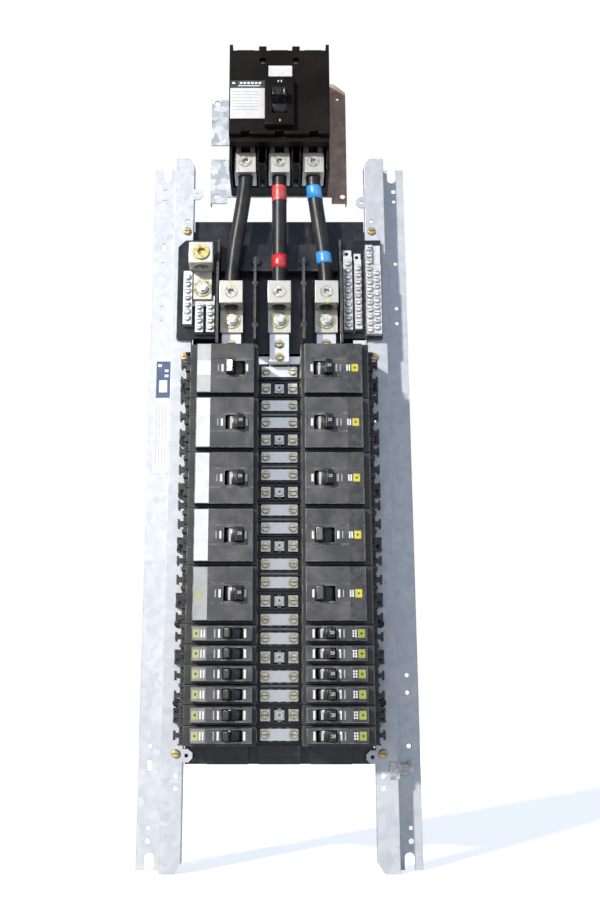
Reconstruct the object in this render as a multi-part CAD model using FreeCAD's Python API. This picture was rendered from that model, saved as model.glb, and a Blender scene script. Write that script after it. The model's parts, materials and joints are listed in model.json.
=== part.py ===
import FreeCAD, Part

import math
import os

# Three-phase panelboard interior: two formed rails carry moulded insulating bases, on which a main
# breaker, main lugs, vertical bus bars, ten three-pole and twelve single-pole breakers are fixed.
# X is to the right, +Y is into the wall and Z is up. The origin lies on the wall plane, midway
# between the rails and midway along them. "Height" means distance forward of the wall, so that
# a point at height h has Y = -h. All sizes are in millimetres.

# Rails
RAIL_LENGTH = 765.0
RAIL_HALF_WIDTH = 143.5
RAIL_WEB_X = 118.0
RAIL_INNER_X = 96.0
RAIL_HEIGHT = 29.0
RAIL_SHEET = 1.5
RAIL_LIP_DEPTH = 12.0
RAIL_END_CHAMFER = 7.0
HOLE_X = 132.0
MOUNT_HOLE_Z = 355.5
MOUNT_HOLE_R = 2.75
SMALL_HOLE_R = 2.2
END_SLOT_X = 130.0
END_SLOT_WIDTH = 10.0
END_SLOT_DEPTH = 16.5
FLANGE_HOLE_X = 103.0
FLANGE_HOLE_R = 2.35
SCREW_HOLE_R = 1.9
SPARE_HOLE_Z = (305.0, -291.5, -303.5)
TAB_HALF = 6.5
# Holes in each wall flange: Z and half of the slot's straight part
LEFT_RAIL_HOLES = ((342.9, 0), (284.6, 3.0), (265.5, 0), (212.4, 0), (195.3, 0), (-263.4, 0),
                   (-282.6, 2.4), (-342.9, 0))
RIGHT_RAIL_HOLES = ((342.9, 0), (265.5, 0), (211.6, 0), (193.8, 0), (-192.7, 0), (-210.3, 0),
                    (-263.4, 0), (-342.9, 0))
LEFT_TAB_Z = (338.0, -272.0)
RIGHT_TAB_Z = (328.0, -273.5)
RIGHT_FLANGE_HOLE_Z = 73.6

# Breaker rows
PITCH = 19.05
ROWS = 21
POLES = 3
THREE_POLE_COUNT = 5
SINGLE_POLE_COUNT = 6
ROW_ONE_Z = 129.0
STACK_TOP = ROW_ONE_Z + PITCH / 2
STACK_BOTTOM = STACK_TOP - ROWS * PITCH

# Branch breakers, measured outward from the centre plane and forward of the wall
CASE_INNER_X = 22.0
CASE_OUTER_X = 91.5
CASE_END_X = 97.5
CASE_WALL_X = 98.5
CASE_FOOT_X = 91.0
CASE_UNDERCUT = 36.6
CASE_BACK = 18.0
CASE_SHOULDER = 88.0
CASE_FACE = 98.0
PLATEAU_INNER_X = 25.6
PLATEAU_OUTER_X = 84.2
PLATEAU_INSET = 2.3
SHELF_HEIGHT = 61.0
SHELF_WALL_HEIGHT = 64.5
SHELF_WALL = 3.2
WIRE_SCREW_X = 94.7
WIRE_SCREW_R = 2.9
GUIDE_HEIGHT = (44.0, 54.0)
GUIDE_REACH_X = 104.0
GUIDE_TIP_X = 102.2
GUIDE_HALF_Z = 2.4
GUIDE_TIP_HALF_Z = 4.6
CASE_GAP = 0.3
SEAM = 0.6

# Toggle handles; the half widths along Z are for one-pole and for three-pole breakers
HANDLE_X = 44.5
HANDLE_PIVOT = 82.0
HUB_R = 14.6
HUB_CLEARANCE = 0.4
HANDLE_TIP_R = 25.5
HANDLE_THROW = 13.0
GRIP_THICK = {1: 6.0, 3: 7.4}
GRIP_HALF = {1: 4.5, 3: 6.7}
WELL_HALF = {1: 5.3, 3: 7.5}
HUB_SIDE_GAP = 0.4
SLOT_HALF_X = 9.8
THREE_POLE_ON = {"left": (False, True, True, True, True), "right": (False, False, False, True, True)}

# Moulded bases
BASE_HALF_X = 95.0
BASE_BACK = 3.0
BASE_FRONT = 18.0
BASE_SPLIT_Z = 139.4
EAR_REACH_X = 108.0
EAR_BACK = 9.0
HOOK_REACH_X = 106.0
HOOK_FRONT = 36.3
HOOK_HALF_Z = 7.2
RIB_HALF_X = 21.8
RIB_FRONT = 24.2
RIB_EDGES = (1.2, 2.6)
PANEL_X = (-51.8, 0.0, 51.8)
PANEL_HALF_X = 20.6
CHANNEL_HALF_X = 13.5
CHANNEL_FLOOR = 6.0
HOOK_PITCH = POLES * PITCH
HOOK_TOP_Z = 110.0
HOOK_COUNT = 7
BASE_END_Z = -280.5
LUG_BASE_TOP_Z = 308.5
LUG_BASE_FRONT = 20.0
LUG_FLOOR_Z = 151.5
PLATEAU_Z = (243.5, 276.0)
RAIL_SCREW_LUG_Z = (292.5, 144.8)
RAIL_SCREW_BASE_Z = (-142.2, -220.8, -270.2)

# Bus work
BUS_X = (-9.0, 0.0, 9.0)
BUS_WIDTH = 4.0
BUS_FRONT = 15.5
BUS_BACK = 7.0
BAR_FRONT = 25.3
BAR_BACK = 22.0
BAR_HALF_X = 19.2
BAR_HALF_Z = 5.8
SCREW_X = 14.5
WASHER = 0.9
LUG_X = (-51.8, 0.0, 50.8)
STRAP_HALF_X = 10.4
STRAP_BACK = 35.5
STRAP_FRONT = 38.5
LUG_BLOCK_HALF_X = 12.8
LUG_BLOCK_Z = (195.4, 221.4)
LUG_BLOCK_BACK = 36.0
LUG_BLOCK_FRONT = 60.0
LUG_BORE_HEIGHT = 47.4
LUG_SCREW_Z = 208.2
SET_SCREW_R = 6.4
TANG_BOTTOM_Z = 168.5
TANG_FRONT = 41.5
TANG_BOLT_Z = 182.5
BARRIER_X = 26.0
OUTER_BARRIER_X = 65.5

# Main breaker
MAIN_HALF_X = 55.0
MAIN_BOTTOM_Z = 346.0
MAIN_COVER_Z = 378.8
MAIN_TOP_Z = 481.5
MAIN_BACK = 10.0
MAIN_PARTING = 34.0
MAIN_FACE = 90.0
MAIN_ESCUTCHEON = 98.0
MAIN_LUG_X = (-37.4, 0.0, 37.4)
MAIN_LUG_HALF_X = 11.9
MAIN_LUG_BACK = 33.0
MAIN_LUG_FRONT = 65.0
MAIN_LUG_TOP_Z = 370.0
MAIN_LUG_SCREW_Z = 359.6
MAIN_BORE_HEIGHT = 51.5
MAIN_BARRIER_X = (13.6, 23.8)
MAIN_BARRIER_FRONT = 72.0
MAIN_HOOD = (72.2, 84.0)
MAIN_HOOD_Z = 373.0
MAIN_TOP_PAD = (66.0, 87.0)
MAIN_TOP_PAD_HALF_X = 9.5
MAIN_TOP_PAD_Z = 483.3
MAIN_SCREW_X = 18.7
MAIN_SCREW_Z = 358.0
MAIN_PIVOT_Z = 413.2
MAIN_PIVOT_HEIGHT = 82.0
MAIN_GRIP_THICK = 11.0
MAIN_GRIP_HALF_X = 7.6
MAIN_TIP_R = 28.0
MAIN_GRIP_GROOVES = 5
MAIN_SLOT_HALF_Z = 14.6
MAIN_SLOT_HALF_X = 8.6
MAIN_CAVITY_Z = (387.0, 470.0)
MAIN_LINE_Z = 474.0
CONTACT_Z = 436.0
CONTACT_HEIGHT = 50.0
CONTACT_SHAFT_R = 5.0

# Mounting pan of the main breaker
PAN_BACK = 8.0
PAN_FRONT = 10.0
PAN_HALF_X = 79.0
PAN_BOTTOM_Z = 336.5
PAN_NOTCH_X = 60.0
PAN_NOTCH_Z = 344.5
PAN_HOLE_X = 72.5
PAN_HOLE_Z = 345.0
PAN_HOLE_R = 3.0

# Cables
CABLE_R = 8.0
CABLE_FIT = 0.3

# Neutral and ground bars; a strip is its two X values and its two Z values
BAR_BASE_BACK = 30.0
BAR_BASE_FRONT = 35.0
TERMINAL_FRONT = 43.5
TERMINAL_SCREW_PITCH = 7.9
TERMINAL_SCREW_R = 3.3
NEUTRAL_LUG_X = -84.0
NEUTRAL_SCREW = (-84.0, 251.5, 8.2)
NEUTRAL_BORE_HEIGHT = 52.0
NEUTRAL_BORE_R = 8.2
NEUTRAL_STRIPS = ((-104.6, -95.0, 177.5, 239.0), (-91.2, -82.6, 168.5, 203.0), (-79.2, -70.6, 168.5, 203.0))
GROUND_STRIPS = ((70.0, 79.4, 171.0, 266.0), (82.0, 89.6, 172.0, 262.0))
WIDE_GROUND_BAR = (94.4, 111.0, 166.5, 270.0)
CLIP_Z = -286.5


def block(x, height, z):
    """A box between two X values, two heights above the wall and two Z values, in any order."""
    x0, x1 = sorted(x)
    h0, h1 = sorted(height)
    z0, z1 = sorted(z)
    return Part.makeBox(x1 - x0, h1 - h0, z1 - z0, FreeCAD.Vector(x0, -h1, z0))


def post(x, z, radius, height):
    """A round bar that stands forward of the wall."""
    h0, h1 = sorted(height)
    return Part.makeCylinder(radius, h1 - h0, FreeCAD.Vector(x, -h0, z), FreeCAD.Vector(0, -1, 0))


def upright(x, h, radius, z):
    """A round bar along Z."""
    z0, z1 = sorted(z)
    return Part.makeCylinder(radius, z1 - z0, FreeCAD.Vector(x, -h, z0), FreeCAD.Vector(0, 0, 1))


def crossbar(x, h, z, radius):
    """A round bar along X."""
    x0, x1 = sorted(x)
    return Part.makeCylinder(radius, x1 - x0, FreeCAD.Vector(x0, -h, z), FreeCAD.Vector(1, 0, 0))


def fuse(shapes):
    """One solid from touching shapes, without the seams between them."""
    first = shapes[0]
    if len(shapes) > 1:
        first = first.fuse(shapes[1:])
    return first.removeSplitter()


def prism(points, z):
    """A straight bar along Z from an outline of (x, height) points."""
    z0, z1 = sorted(z)
    corners = [FreeCAD.Vector(x, -h, z0) for x, h in points]
    face = Part.Face(Part.makePolygon(corners + corners[:1]))
    return face.extrude(FreeCAD.Vector(0, 0, z1 - z0))


def plate(points, height):
    """A flat plate parallel to the wall from an outline of (x, z) points."""
    h0, h1 = sorted(height)
    corners = [FreeCAD.Vector(x, -h0, z) for x, z in points]
    face = Part.Face(Part.makePolygon(corners + corners[:1]))
    return face.extrude(FreeCAD.Vector(0, -(h1 - h0), 0))


def ease(solid, radius, wanted):
    """Rounds the straight edges whose middle point the test accepts."""
    edges = [e for e in solid.Edges if wanted(e.CenterOfMass, e)]
    return solid.makeFillet(radius, edges)


def along_z(edge):
    first, last = edge.Vertexes[0].Point, edge.Vertexes[-1].Point
    return abs(first.x - last.x) < 1e-6 and abs(first.y - last.y) < 1e-6


def at_height(point, height):
    return abs(point.y + height) < 1e-6


def hex_screw(x, z, across, height, washer_r, slotted):
    """A hexagon-head screw with a washer under its head, and a driver slot where it has one."""
    h0, h1 = height
    washer_top = h0 + WASHER
    corner = across / 2 / math.cos(math.pi / 6)
    outline = []
    for k in range(6):
        turn = math.radians(60 * k + 12)
        outline.append((x + corner * math.cos(turn), z + corner * math.sin(turn)))
    head = plate(outline, (washer_top, h1))
    if slotted:
        head = head.cut(block((x - across, x + across), (h1 - 1.0, h1 + 1), (z - 0.6, z + 0.6)))
    return fuse([post(x, z, washer_r, (h0, washer_top)), head])


def round_screw(x, z, radius, height, slot_width):
    """A round-head screw with a crowned edge and a straight driver slot."""
    h0, h1 = height
    head = post(x, z, radius, height)
    head = ease(head, 0.35 * radius, lambda p, e: at_height(p, h1))
    groove = block((x - radius, x + radius), (h1 - 0.3 * (h1 - h0), h1 + 1),
                   (z - slot_width / 2, z + slot_width / 2))
    return head.cut(groove)


def socket_screw(x, z, radius, height, socket_across):
    """A set screw with a hexagon socket, as used in cable lugs."""
    h0, h1 = height
    corner = socket_across / 2 / math.cos(math.pi / 6)
    outline = []
    for k in range(6):
        turn = math.radians(60 * k)
        outline.append((x + corner * math.cos(turn), z + corner * math.sin(turn)))
    return post(x, z, radius, height).cut(plate(outline, (h1 - 3.5, h1 + 1)))


def rail_profile(side):
    """Z-shaped section: outer flange on the wall, web, raised flange, lip turned back."""
    t = RAIL_SHEET
    points = [(RAIL_HALF_WIDTH, 0), (RAIL_HALF_WIDTH, t), (RAIL_WEB_X, t),
              (RAIL_WEB_X, RAIL_HEIGHT), (RAIL_INNER_X, RAIL_HEIGHT),
              (RAIL_INNER_X, RAIL_HEIGHT - RAIL_LIP_DEPTH),
              (RAIL_INNER_X + t, RAIL_HEIGHT - RAIL_LIP_DEPTH),
              (RAIL_INNER_X + t, RAIL_HEIGHT - t), (RAIL_WEB_X - t, RAIL_HEIGHT - t),
              (RAIL_WEB_X - t, 0)]
    return [(side * x, h) for x, h in points]


def fold_edges(point, edge):
    """The folds of the sheet: every edge along Z except the sheet's own two cut edges."""
    if not along_z(edge):
        return False
    on_outer_cut = abs(abs(point.x) - RAIL_HALF_WIDTH) < 1e-6
    on_lip_cut = at_height(point, RAIL_HEIGHT - RAIL_LIP_DEPTH)
    return not on_outer_cut and not on_lip_cut


def rail(side, outer_holes, tab_z, spare_hole_z):
    """One formed rail with its screw tabs, end slots and punched holes."""
    half = RAIL_LENGTH / 2
    body = prism(rail_profile(side), (-half, half))
    body = ease(body, 0.7, fold_edges)
    for z in tab_z:
        inner, outer = RAIL_INNER_X - 9.5, RAIL_INNER_X + 2.5
        corner = inner + 4.0
        z0, z1 = z - TAB_HALF, z + TAB_HALF
        outline = [(outer, z0), (corner, z0), (inner, z0 + 4.0), (inner, z1 - 4.0), (corner, z1), (outer, z1)]
        tab = plate([(side * x, q) for x, q in outline], (RAIL_HEIGHT - RAIL_SHEET, RAIL_HEIGHT))
        body = body.fuse(tab).removeSplitter()
    cuts = []
    for z, extra in outer_holes:
        if extra:
            r = SMALL_HOLE_R + extra / 6
            cuts.append(block((side * HOLE_X - r, side * HOLE_X + r), (-5, 6), (z - extra, z + extra)))
            cuts.append(post(side * HOLE_X, z - extra, r, (-5, 6)))
            cuts.append(post(side * HOLE_X, z + extra, r, (-5, 6)))
        else:
            cuts.append(post(side * HOLE_X, z, SMALL_HOLE_R, (-5, 6)))
    for end in (-1, 1):
        cuts.append(post(side * HOLE_X, end * MOUNT_HOLE_Z, MOUNT_HOLE_R, (-5, 6)))
        slot_end = half - END_SLOT_DEPTH + END_SLOT_WIDTH / 2
        cuts.append(post(side * END_SLOT_X, end * slot_end, END_SLOT_WIDTH / 2, (-5, 6)))
        cuts.append(block((side * END_SLOT_X - END_SLOT_WIDTH / 2, side * END_SLOT_X + END_SLOT_WIDTH / 2),
                          (-5, 6), (end * slot_end, end * (half + 1))))
        cut_off = [(RAIL_INNER_X - 1, end * (half + 1)),
                   (RAIL_INNER_X - 1, end * (half - RAIL_END_CHAMFER - 4)),
                   (RAIL_INNER_X + RAIL_END_CHAMFER, end * (half + 1))]
        cuts.append(plate([(side * x, z) for x, z in cut_off], (10, RAIL_HEIGHT + 2)))
    for z in spare_hole_z:
        cuts.append(post(side * FLANGE_HOLE_X, z, FLANGE_HOLE_R, (20, 35)))
    for z in RAIL_SCREW_LUG_Z + RAIL_SCREW_BASE_Z:
        cuts.append(post(side * FLANGE_HOLE_X, z, SCREW_HOLE_R, (20, 35)))
    for z in tab_z:
        cuts.append(post(side * (RAIL_INNER_X - 3.5), z, SCREW_HOLE_R, (20, 35)))
    return body.cut(cuts)


def ear(side, z):
    """A moulded ear that passes behind the rail's lip and stands up under its raised flange."""
    lip_clear = RAIL_HEIGHT - RAIL_LIP_DEPTH - 0.2
    arm = block((side * (BASE_HALF_X - 4), side * EAR_REACH_X), (EAR_BACK, lip_clear), (z - 5, z + 5))
    seat = block((side * (RAIL_INNER_X + 2), side * EAR_REACH_X),
                 (EAR_BACK, RAIL_HEIGHT - RAIL_SHEET - 0.1), (z - 5, z + 5))
    return [arm, seat], post(side * FLANGE_HOLE_X, z, SCREW_HOLE_R, (EAR_BACK + 6, RAIL_HEIGHT + 2))


def hook(side, z):
    """A moulded retaining hook beside each breaker, over the rail's raised flange."""
    inner = CASE_FOOT_X + 0.4
    width = (z - HOOK_HALF_Z, z + HOOK_HALF_Z)
    riser = block((side * inner, side * BASE_HALF_X), (BASE_FRONT - 1, HOOK_FRONT), width)
    toe = block((side * inner, side * HOOK_REACH_X), (RAIL_HEIGHT + 0.1, HOOK_FRONT), width)
    notch = block((side * (HOOK_REACH_X - 5), side * (HOOK_REACH_X + 1)), (HOOK_FRONT - 3, HOOK_FRONT + 1),
                  (z - 3.2, z + 3.2))
    return [riser, toe.cut(notch)]


def interior_base():
    """Lower moulding: floor with the bus channel, ribs between rows, ears, hooks and end panels."""
    pieces = [block((-BASE_HALF_X, BASE_HALF_X), (BASE_BACK, BASE_FRONT), (BASE_END_Z, BASE_SPLIT_Z))]
    for row in range(1, ROWS + 1):
        z = STACK_TOP - row * PITCH
        near, far = RIB_EDGES
        pieces.append(block((-RIB_HALF_X, RIB_HALF_X), (BASE_FRONT - 8, RIB_FRONT), (z - far, z - near)))
        pieces.append(block((-RIB_HALF_X, RIB_HALF_X), (BASE_FRONT - 8, RIB_FRONT), (z + near, z + far)))
        pieces.append(block((-RIB_HALF_X, RIB_HALF_X), (BASE_FRONT - 8, 20.5), (z - near, z + near)))
    for middle in PANEL_X:
        across = (middle - PANEL_HALF_X, middle + PANEL_HALF_X)
        pieces.append(block(across, (BASE_FRONT, 27), (BASE_END_Z, STACK_BOTTOM - 1.2)))
        pieces.append(block(across, (27, 30), (BASE_END_Z + 8, STACK_BOTTOM - 1.2)))
    cuts = [block((-CHANNEL_HALF_X, CHANNEL_HALF_X), (CHANNEL_FLOOR, BASE_FRONT - 2),
                  (STACK_BOTTOM - 0.5, BASE_SPLIT_Z + 1)),
            block((-CHANNEL_HALF_X, CHANNEL_HALF_X), (CHANNEL_FLOOR, 25),
                  (STACK_TOP - 2.5, BASE_SPLIT_Z + 1))]
    for row in range(ROWS):
        z = ROW_ONE_Z - row * PITCH
        cuts.append(block((-CHANNEL_HALF_X, CHANNEL_HALF_X), (CHANNEL_FLOOR, 25), (z - 6.9, z + 6.9)))
    for side in (-1, 1):
        for z in RAIL_SCREW_BASE_Z:
            solids, hole = ear(side, z)
            pieces += solids
            cuts.append(hole)
        for k in range(HOOK_COUNT):
            pieces += hook(side, HOOK_TOP_Z - k * HOOK_PITCH)
    bridges = []
    for row in range(1, ROWS, POLES):
        z = ROW_ONE_Z - row * PITCH
        for side in (-1, 1):
            bridges.append(block((side * 5.2, side * 9.1), (BAR_BACK + 0.2, RIB_FRONT), (z - 7.2, z + 7.2)))
    return fuse(pieces).cut(cuts).fuse(bridges).removeSplitter()


def lug_base():
    """Upper moulding: floor, raised deck under the cables, lug pedestals, side walls and feet."""
    pieces = [block((-BASE_HALF_X, BASE_HALF_X), (BASE_BACK, LUG_BASE_FRONT), (LUG_FLOOR_Z, LUG_BASE_TOP_Z)),
              block((-BASE_HALF_X, BASE_HALF_X), (BASE_BACK, CHANNEL_FLOOR), (BASE_SPLIT_Z, LUG_FLOOR_Z)),
              block((-64.5, 64.5), (LUG_BASE_FRONT - 1, 30), PLATEAU_Z),
              block((-64.5, 64.5), (LUG_BASE_FRONT - 1, 33), (PLATEAU_Z[0], PLATEAU_Z[0] + 2.5))]
    for x in LUG_X:
        pieces.append(block((x - 12, x + 12), (LUG_BASE_FRONT - 1, STRAP_BACK), (158, 221)))
    for side in (-1, 1):
        for x in (22.2, 74.1):
            pieces.append(post(side * x, 304, 4.0, (LUG_BASE_FRONT - 1, LUG_BASE_FRONT + 0.5)))
        pieces.append(post(side * BARRIER_X, 255.7, 5.0, (29, 33.5)))
    cuts = []
    for side in (-1, 1):
        for z in RAIL_SCREW_LUG_Z:
            solids, hole = ear(side, z)
            pieces += solids
            cuts.append(hole)
        pieces.append(block((side * (BASE_HALF_X - 8), side * BASE_HALF_X), (BASE_BACK, EAR_BACK + 6),
                            (BASE_SPLIT_Z, LUG_FLOOR_Z)))
        cuts.append(block((side * 24.7, side * 27.3), (14, 34), (LUG_FLOOR_Z + 4, PLATEAU_Z[0] - 4)))
    return fuse(pieces).cut(cuts)


def phase_barriers():
    """Insulating sheets: two with round bosses between the lugs, and one beyond each outer lug."""
    solids = []
    for side in (-1, 1):
        x = side * BARRIER_X
        sheet = block((x - 1.2, x + 1.2), (LUG_BASE_FRONT, 70), (LUG_FLOOR_Z, PLATEAU_Z[0] - 0.2))
        tongue = block((x - 1.2, x + 1.2), (15, LUG_BASE_FRONT), (LUG_FLOOR_Z + 5, PLATEAU_Z[0] - 5))
        bosses = [crossbar((x - 2.8, x + 2.8), 67.5, z, 2.8) for z in (214.0, 167.0)]
        solids.append(fuse([sheet, tongue] + bosses))
        outer = (side * OUTER_BARRIER_X, side * (OUTER_BARRIER_X + 2.3))
        solids.append(fuse([block(outer, (LUG_BASE_FRONT, 58), (LUG_FLOOR_Z, PLATEAU_Z[0])),
                            block(outer, (LUG_BASE_FRONT, 44), PLATEAU_Z)]))
    return solids


def bus_bars():
    """Three bars on edge in the base's channel, each led up to the strap under its main lug."""
    solids = []
    for phase, (x, lug_x) in enumerate(zip(BUS_X, LUG_X)):
        middle = phase == 1
        top = BASE_SPLIT_Z if middle else 150.0
        bar = block((x - BUS_WIDTH / 2, x + BUS_WIDTH / 2), (BUS_BACK, BUS_FRONT), (STACK_BOTTOM + 1, top))
        if middle:
            rise = [block((lug_x - STRAP_HALF_X, lug_x + STRAP_HALF_X), (BUS_FRONT + 1.5, STRAP_FRONT),
                          (136.4, BASE_SPLIT_Z)),
                    block((x - BUS_WIDTH / 2, x + BUS_WIDTH / 2), (BUS_FRONT - 4, BUS_FRONT + 2),
                          (136.4, BASE_SPLIT_Z)),
                    block((lug_x - STRAP_HALF_X, lug_x + STRAP_HALF_X), (STRAP_BACK, STRAP_FRONT),
                          (136.4, LUG_BLOCK_Z[0] - 0.4))]
        else:
            outer = lug_x + math.copysign(STRAP_HALF_X, lug_x)
            inner = x - math.copysign(BUS_WIDTH / 2, x)
            rise = [block((inner, outer), (BUS_FRONT - 4, BUS_FRONT), (141, 150)),
                    block((lug_x - STRAP_HALF_X, lug_x + STRAP_HALF_X), (BUS_FRONT - 4, STRAP_FRONT),
                          (147, 150)),
                    block((lug_x - STRAP_HALF_X, lug_x + STRAP_HALF_X), (STRAP_BACK, STRAP_FRONT),
                          (147, LUG_BLOCK_Z[0] - 0.4))]
        solids.append(fuse([bar] + rise))
    return solids


def branch_connectors():
    """Plated bars across the centre, one for each row, tied in turn to the three bus bars."""
    solids = []
    for row in range(ROWS):
        z = ROW_ONE_Z - row * PITCH
        phase = (0, 1, 2)[row % POLES]
        x = BUS_X[phase]
        stem = block((x - 1.9, x + 1.9), (BUS_FRONT, BAR_BACK), (z - 4, z + 4))
        if phase == 1:
            parts = [block((-BAR_HALF_X, BAR_HALF_X), (19.4, BAR_BACK), (z - 4, z + 4)), stem]
            for side in (-1, 1):
                parts.append(block((side * 9.4, side * BAR_HALF_X), (BAR_BACK - 0.5, BAR_FRONT),
                                   (z - BAR_HALF_Z, z + BAR_HALF_Z)))
            parts.append(block((-4.9, 4.9), (BAR_BACK - 0.5, BAR_FRONT), (z - 4.9, z + 4.9)))
        else:
            bar = block((-BAR_HALF_X, BAR_HALF_X), (BAR_BACK, BAR_FRONT), (z - BAR_HALF_Z, z + BAR_HALF_Z))
            bar = ease(bar, 1.6, lambda p, e: abs(abs(p.x) - BAR_HALF_X) < 1e-6 and not along_z(e)
                       and abs(e.Vertexes[0].Point.z - e.Vertexes[-1].Point.z) < 1e-6)
            parts = [bar, stem]
        solids.append(fuse(parts))
    return solids


def connector_screws():
    """Hexagon screws that clamp each breaker's line terminal, and the round ones of the middle phase."""
    solids = []
    for row in range(ROWS):
        z = ROW_ONE_Z - row * PITCH
        for side in (-1, 1):
            solids.append(hex_screw(side * SCREW_X, z, 6.6, (BAR_FRONT, 29.0), 4.3, True))
        if row % POLES == 1:
            solids.append(socket_screw(0, z, 3.6, (BAR_FRONT, 28.4), 3.0))
    return solids


def main_bus_lugs():
    """Aluminium cable lugs: a bored block with a flat tang bolted to the bus strap."""
    solids = []
    for x in LUG_X:
        body = block((x - LUG_BLOCK_HALF_X, x + LUG_BLOCK_HALF_X), (LUG_BLOCK_BACK, LUG_BLOCK_FRONT),
                     LUG_BLOCK_Z)
        body = ease(body, 1.0, lambda p, e: at_height(p, LUG_BLOCK_FRONT))
        tang = block((x - LUG_BLOCK_HALF_X + 0.6, x + LUG_BLOCK_HALF_X - 0.6), (STRAP_FRONT, TANG_FRONT),
                     (TANG_BOTTOM_Z, LUG_BLOCK_Z[0] + 2))
        bore = upright(x, LUG_BORE_HEIGHT, CABLE_R + CABLE_FIT, (LUG_BLOCK_Z[0] - 1, LUG_BLOCK_Z[1] + 1))
        screw_hole = post(x, LUG_SCREW_Z, SET_SCREW_R + 0.2, (LUG_BORE_HEIGHT, LUG_BLOCK_FRONT + 1))
        solids.append(fuse([body, tang]).cut([bore, screw_hole]))
    return solids


def lug_set_screws():
    """Socket set screws that press on the three cables, at the main breaker and at the bus."""
    solids = []
    for x in LUG_X:
        reach = (LUG_BORE_HEIGHT + CABLE_R + 0.1, LUG_BLOCK_FRONT + 0.6)
        solids.append(socket_screw(x, LUG_SCREW_Z, SET_SCREW_R, reach, 6.4))
    for x in MAIN_LUG_X:
        reach = (MAIN_BORE_HEIGHT + CABLE_R + 0.1, MAIN_LUG_FRONT + 0.6)
        solids.append(socket_screw(x, MAIN_LUG_SCREW_Z, SET_SCREW_R, reach, 6.4))
    x, z, radius = NEUTRAL_SCREW
    solids.append(socket_screw(x, z, radius, (NEUTRAL_BORE_HEIGHT + NEUTRAL_BORE_R, 67.0), 8.0))
    return solids


def tang_bolts():
    """Hexagon bolts with washers through the lug tangs and the bus straps."""
    solids = []
    for x, z in [(x, TANG_BOLT_Z) for x in LUG_X] + [(NEUTRAL_LUG_X, 219.5)]:
        bolt = hex_screw(x, z, 9.0, (TANG_FRONT, 47.5), 9.6, False)
        lock_washer = post(x, z, 6.6, (TANG_FRONT, TANG_FRONT + 2 * WASHER))
        solids.append(fuse([bolt, lock_washer]))
    for x, z in ((LUG_X[0], 156.0), (LUG_X[2], 157.0), (LUG_X[1], 156.0), (LUG_X[1], 141.4)):
        solids.append(hex_screw(x, z, 7.0, (STRAP_FRONT, 42.0), 4.6, True))
    return solids


def main_breaker_base():
    """Rear shell of the main breaker with the walls of its terminal bays at both ends."""
    pieces = [block((-MAIN_HALF_X, MAIN_HALF_X), (MAIN_BACK, MAIN_LUG_BACK - 3), (MAIN_BOTTOM_Z, MAIN_TOP_Z)),
              block((-MAIN_HALF_X, MAIN_HALF_X), (MAIN_BACK, MAIN_PARTING), (MAIN_COVER_Z, MAIN_TOP_Z))]
    for side in (-1, 1):
        pieces.append(block((side * 51.8, side * MAIN_HALF_X), (MAIN_BACK, MAIN_BARRIER_FRONT),
                            (MAIN_BOTTOM_Z, MAIN_COVER_Z)))
        pieces.append(block((side * MAIN_BARRIER_X[0], side * MAIN_BARRIER_X[1]),
                            (MAIN_BACK, MAIN_BARRIER_FRONT), (MAIN_BOTTOM_Z, MAIN_COVER_Z)))
        pieces.append(block((side * 51.4, side * MAIN_HALF_X), (MAIN_BACK, MAIN_FACE - 2),
                            (MAIN_TOP_Z, 489.6)))
        pieces.append(block((side * 14.2, side * 22.6), (MAIN_BACK, MAIN_FACE - 2), (MAIN_TOP_Z, 487.5)))
    cuts = [block((-48, 48), (18, MAIN_PARTING + 1), MAIN_CAVITY_Z)]
    for x in MAIN_LUG_X:
        cuts.append(block((x - 6.2, x + 6.2), (MAIN_LUG_BACK - 3, MAIN_PARTING + 1),
                          (MAIN_COVER_Z - 1, MAIN_CAVITY_Z[0] + 1)))
        cuts.append(block((x - 11, x + 11), (16, MAIN_PARTING + 1), (MAIN_LINE_Z, MAIN_TOP_Z + 1)))
    for side in (-1, 1):
        middle = side * MAIN_SCREW_X
        cuts.append(post(middle, MAIN_SCREW_Z, 4.4, (40, MAIN_BARRIER_FRONT + 1)))
        cuts.append(block((middle - 3.6, middle + 3.6), (40, MAIN_BARRIER_FRONT + 1),
                          (MAIN_SCREW_Z, MAIN_COVER_Z + 1)))
        cuts.append(post(middle, MAIN_SCREW_Z, 2.1, (5, 41)))
        cuts.append(block((middle - 2.5, middle + 2.5), (30, MAIN_BARRIER_FRONT + 1),
                          (MAIN_BOTTOM_Z - 1, MAIN_BOTTOM_Z + 5)))
    return fuse(pieces).cut(cuts)


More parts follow.
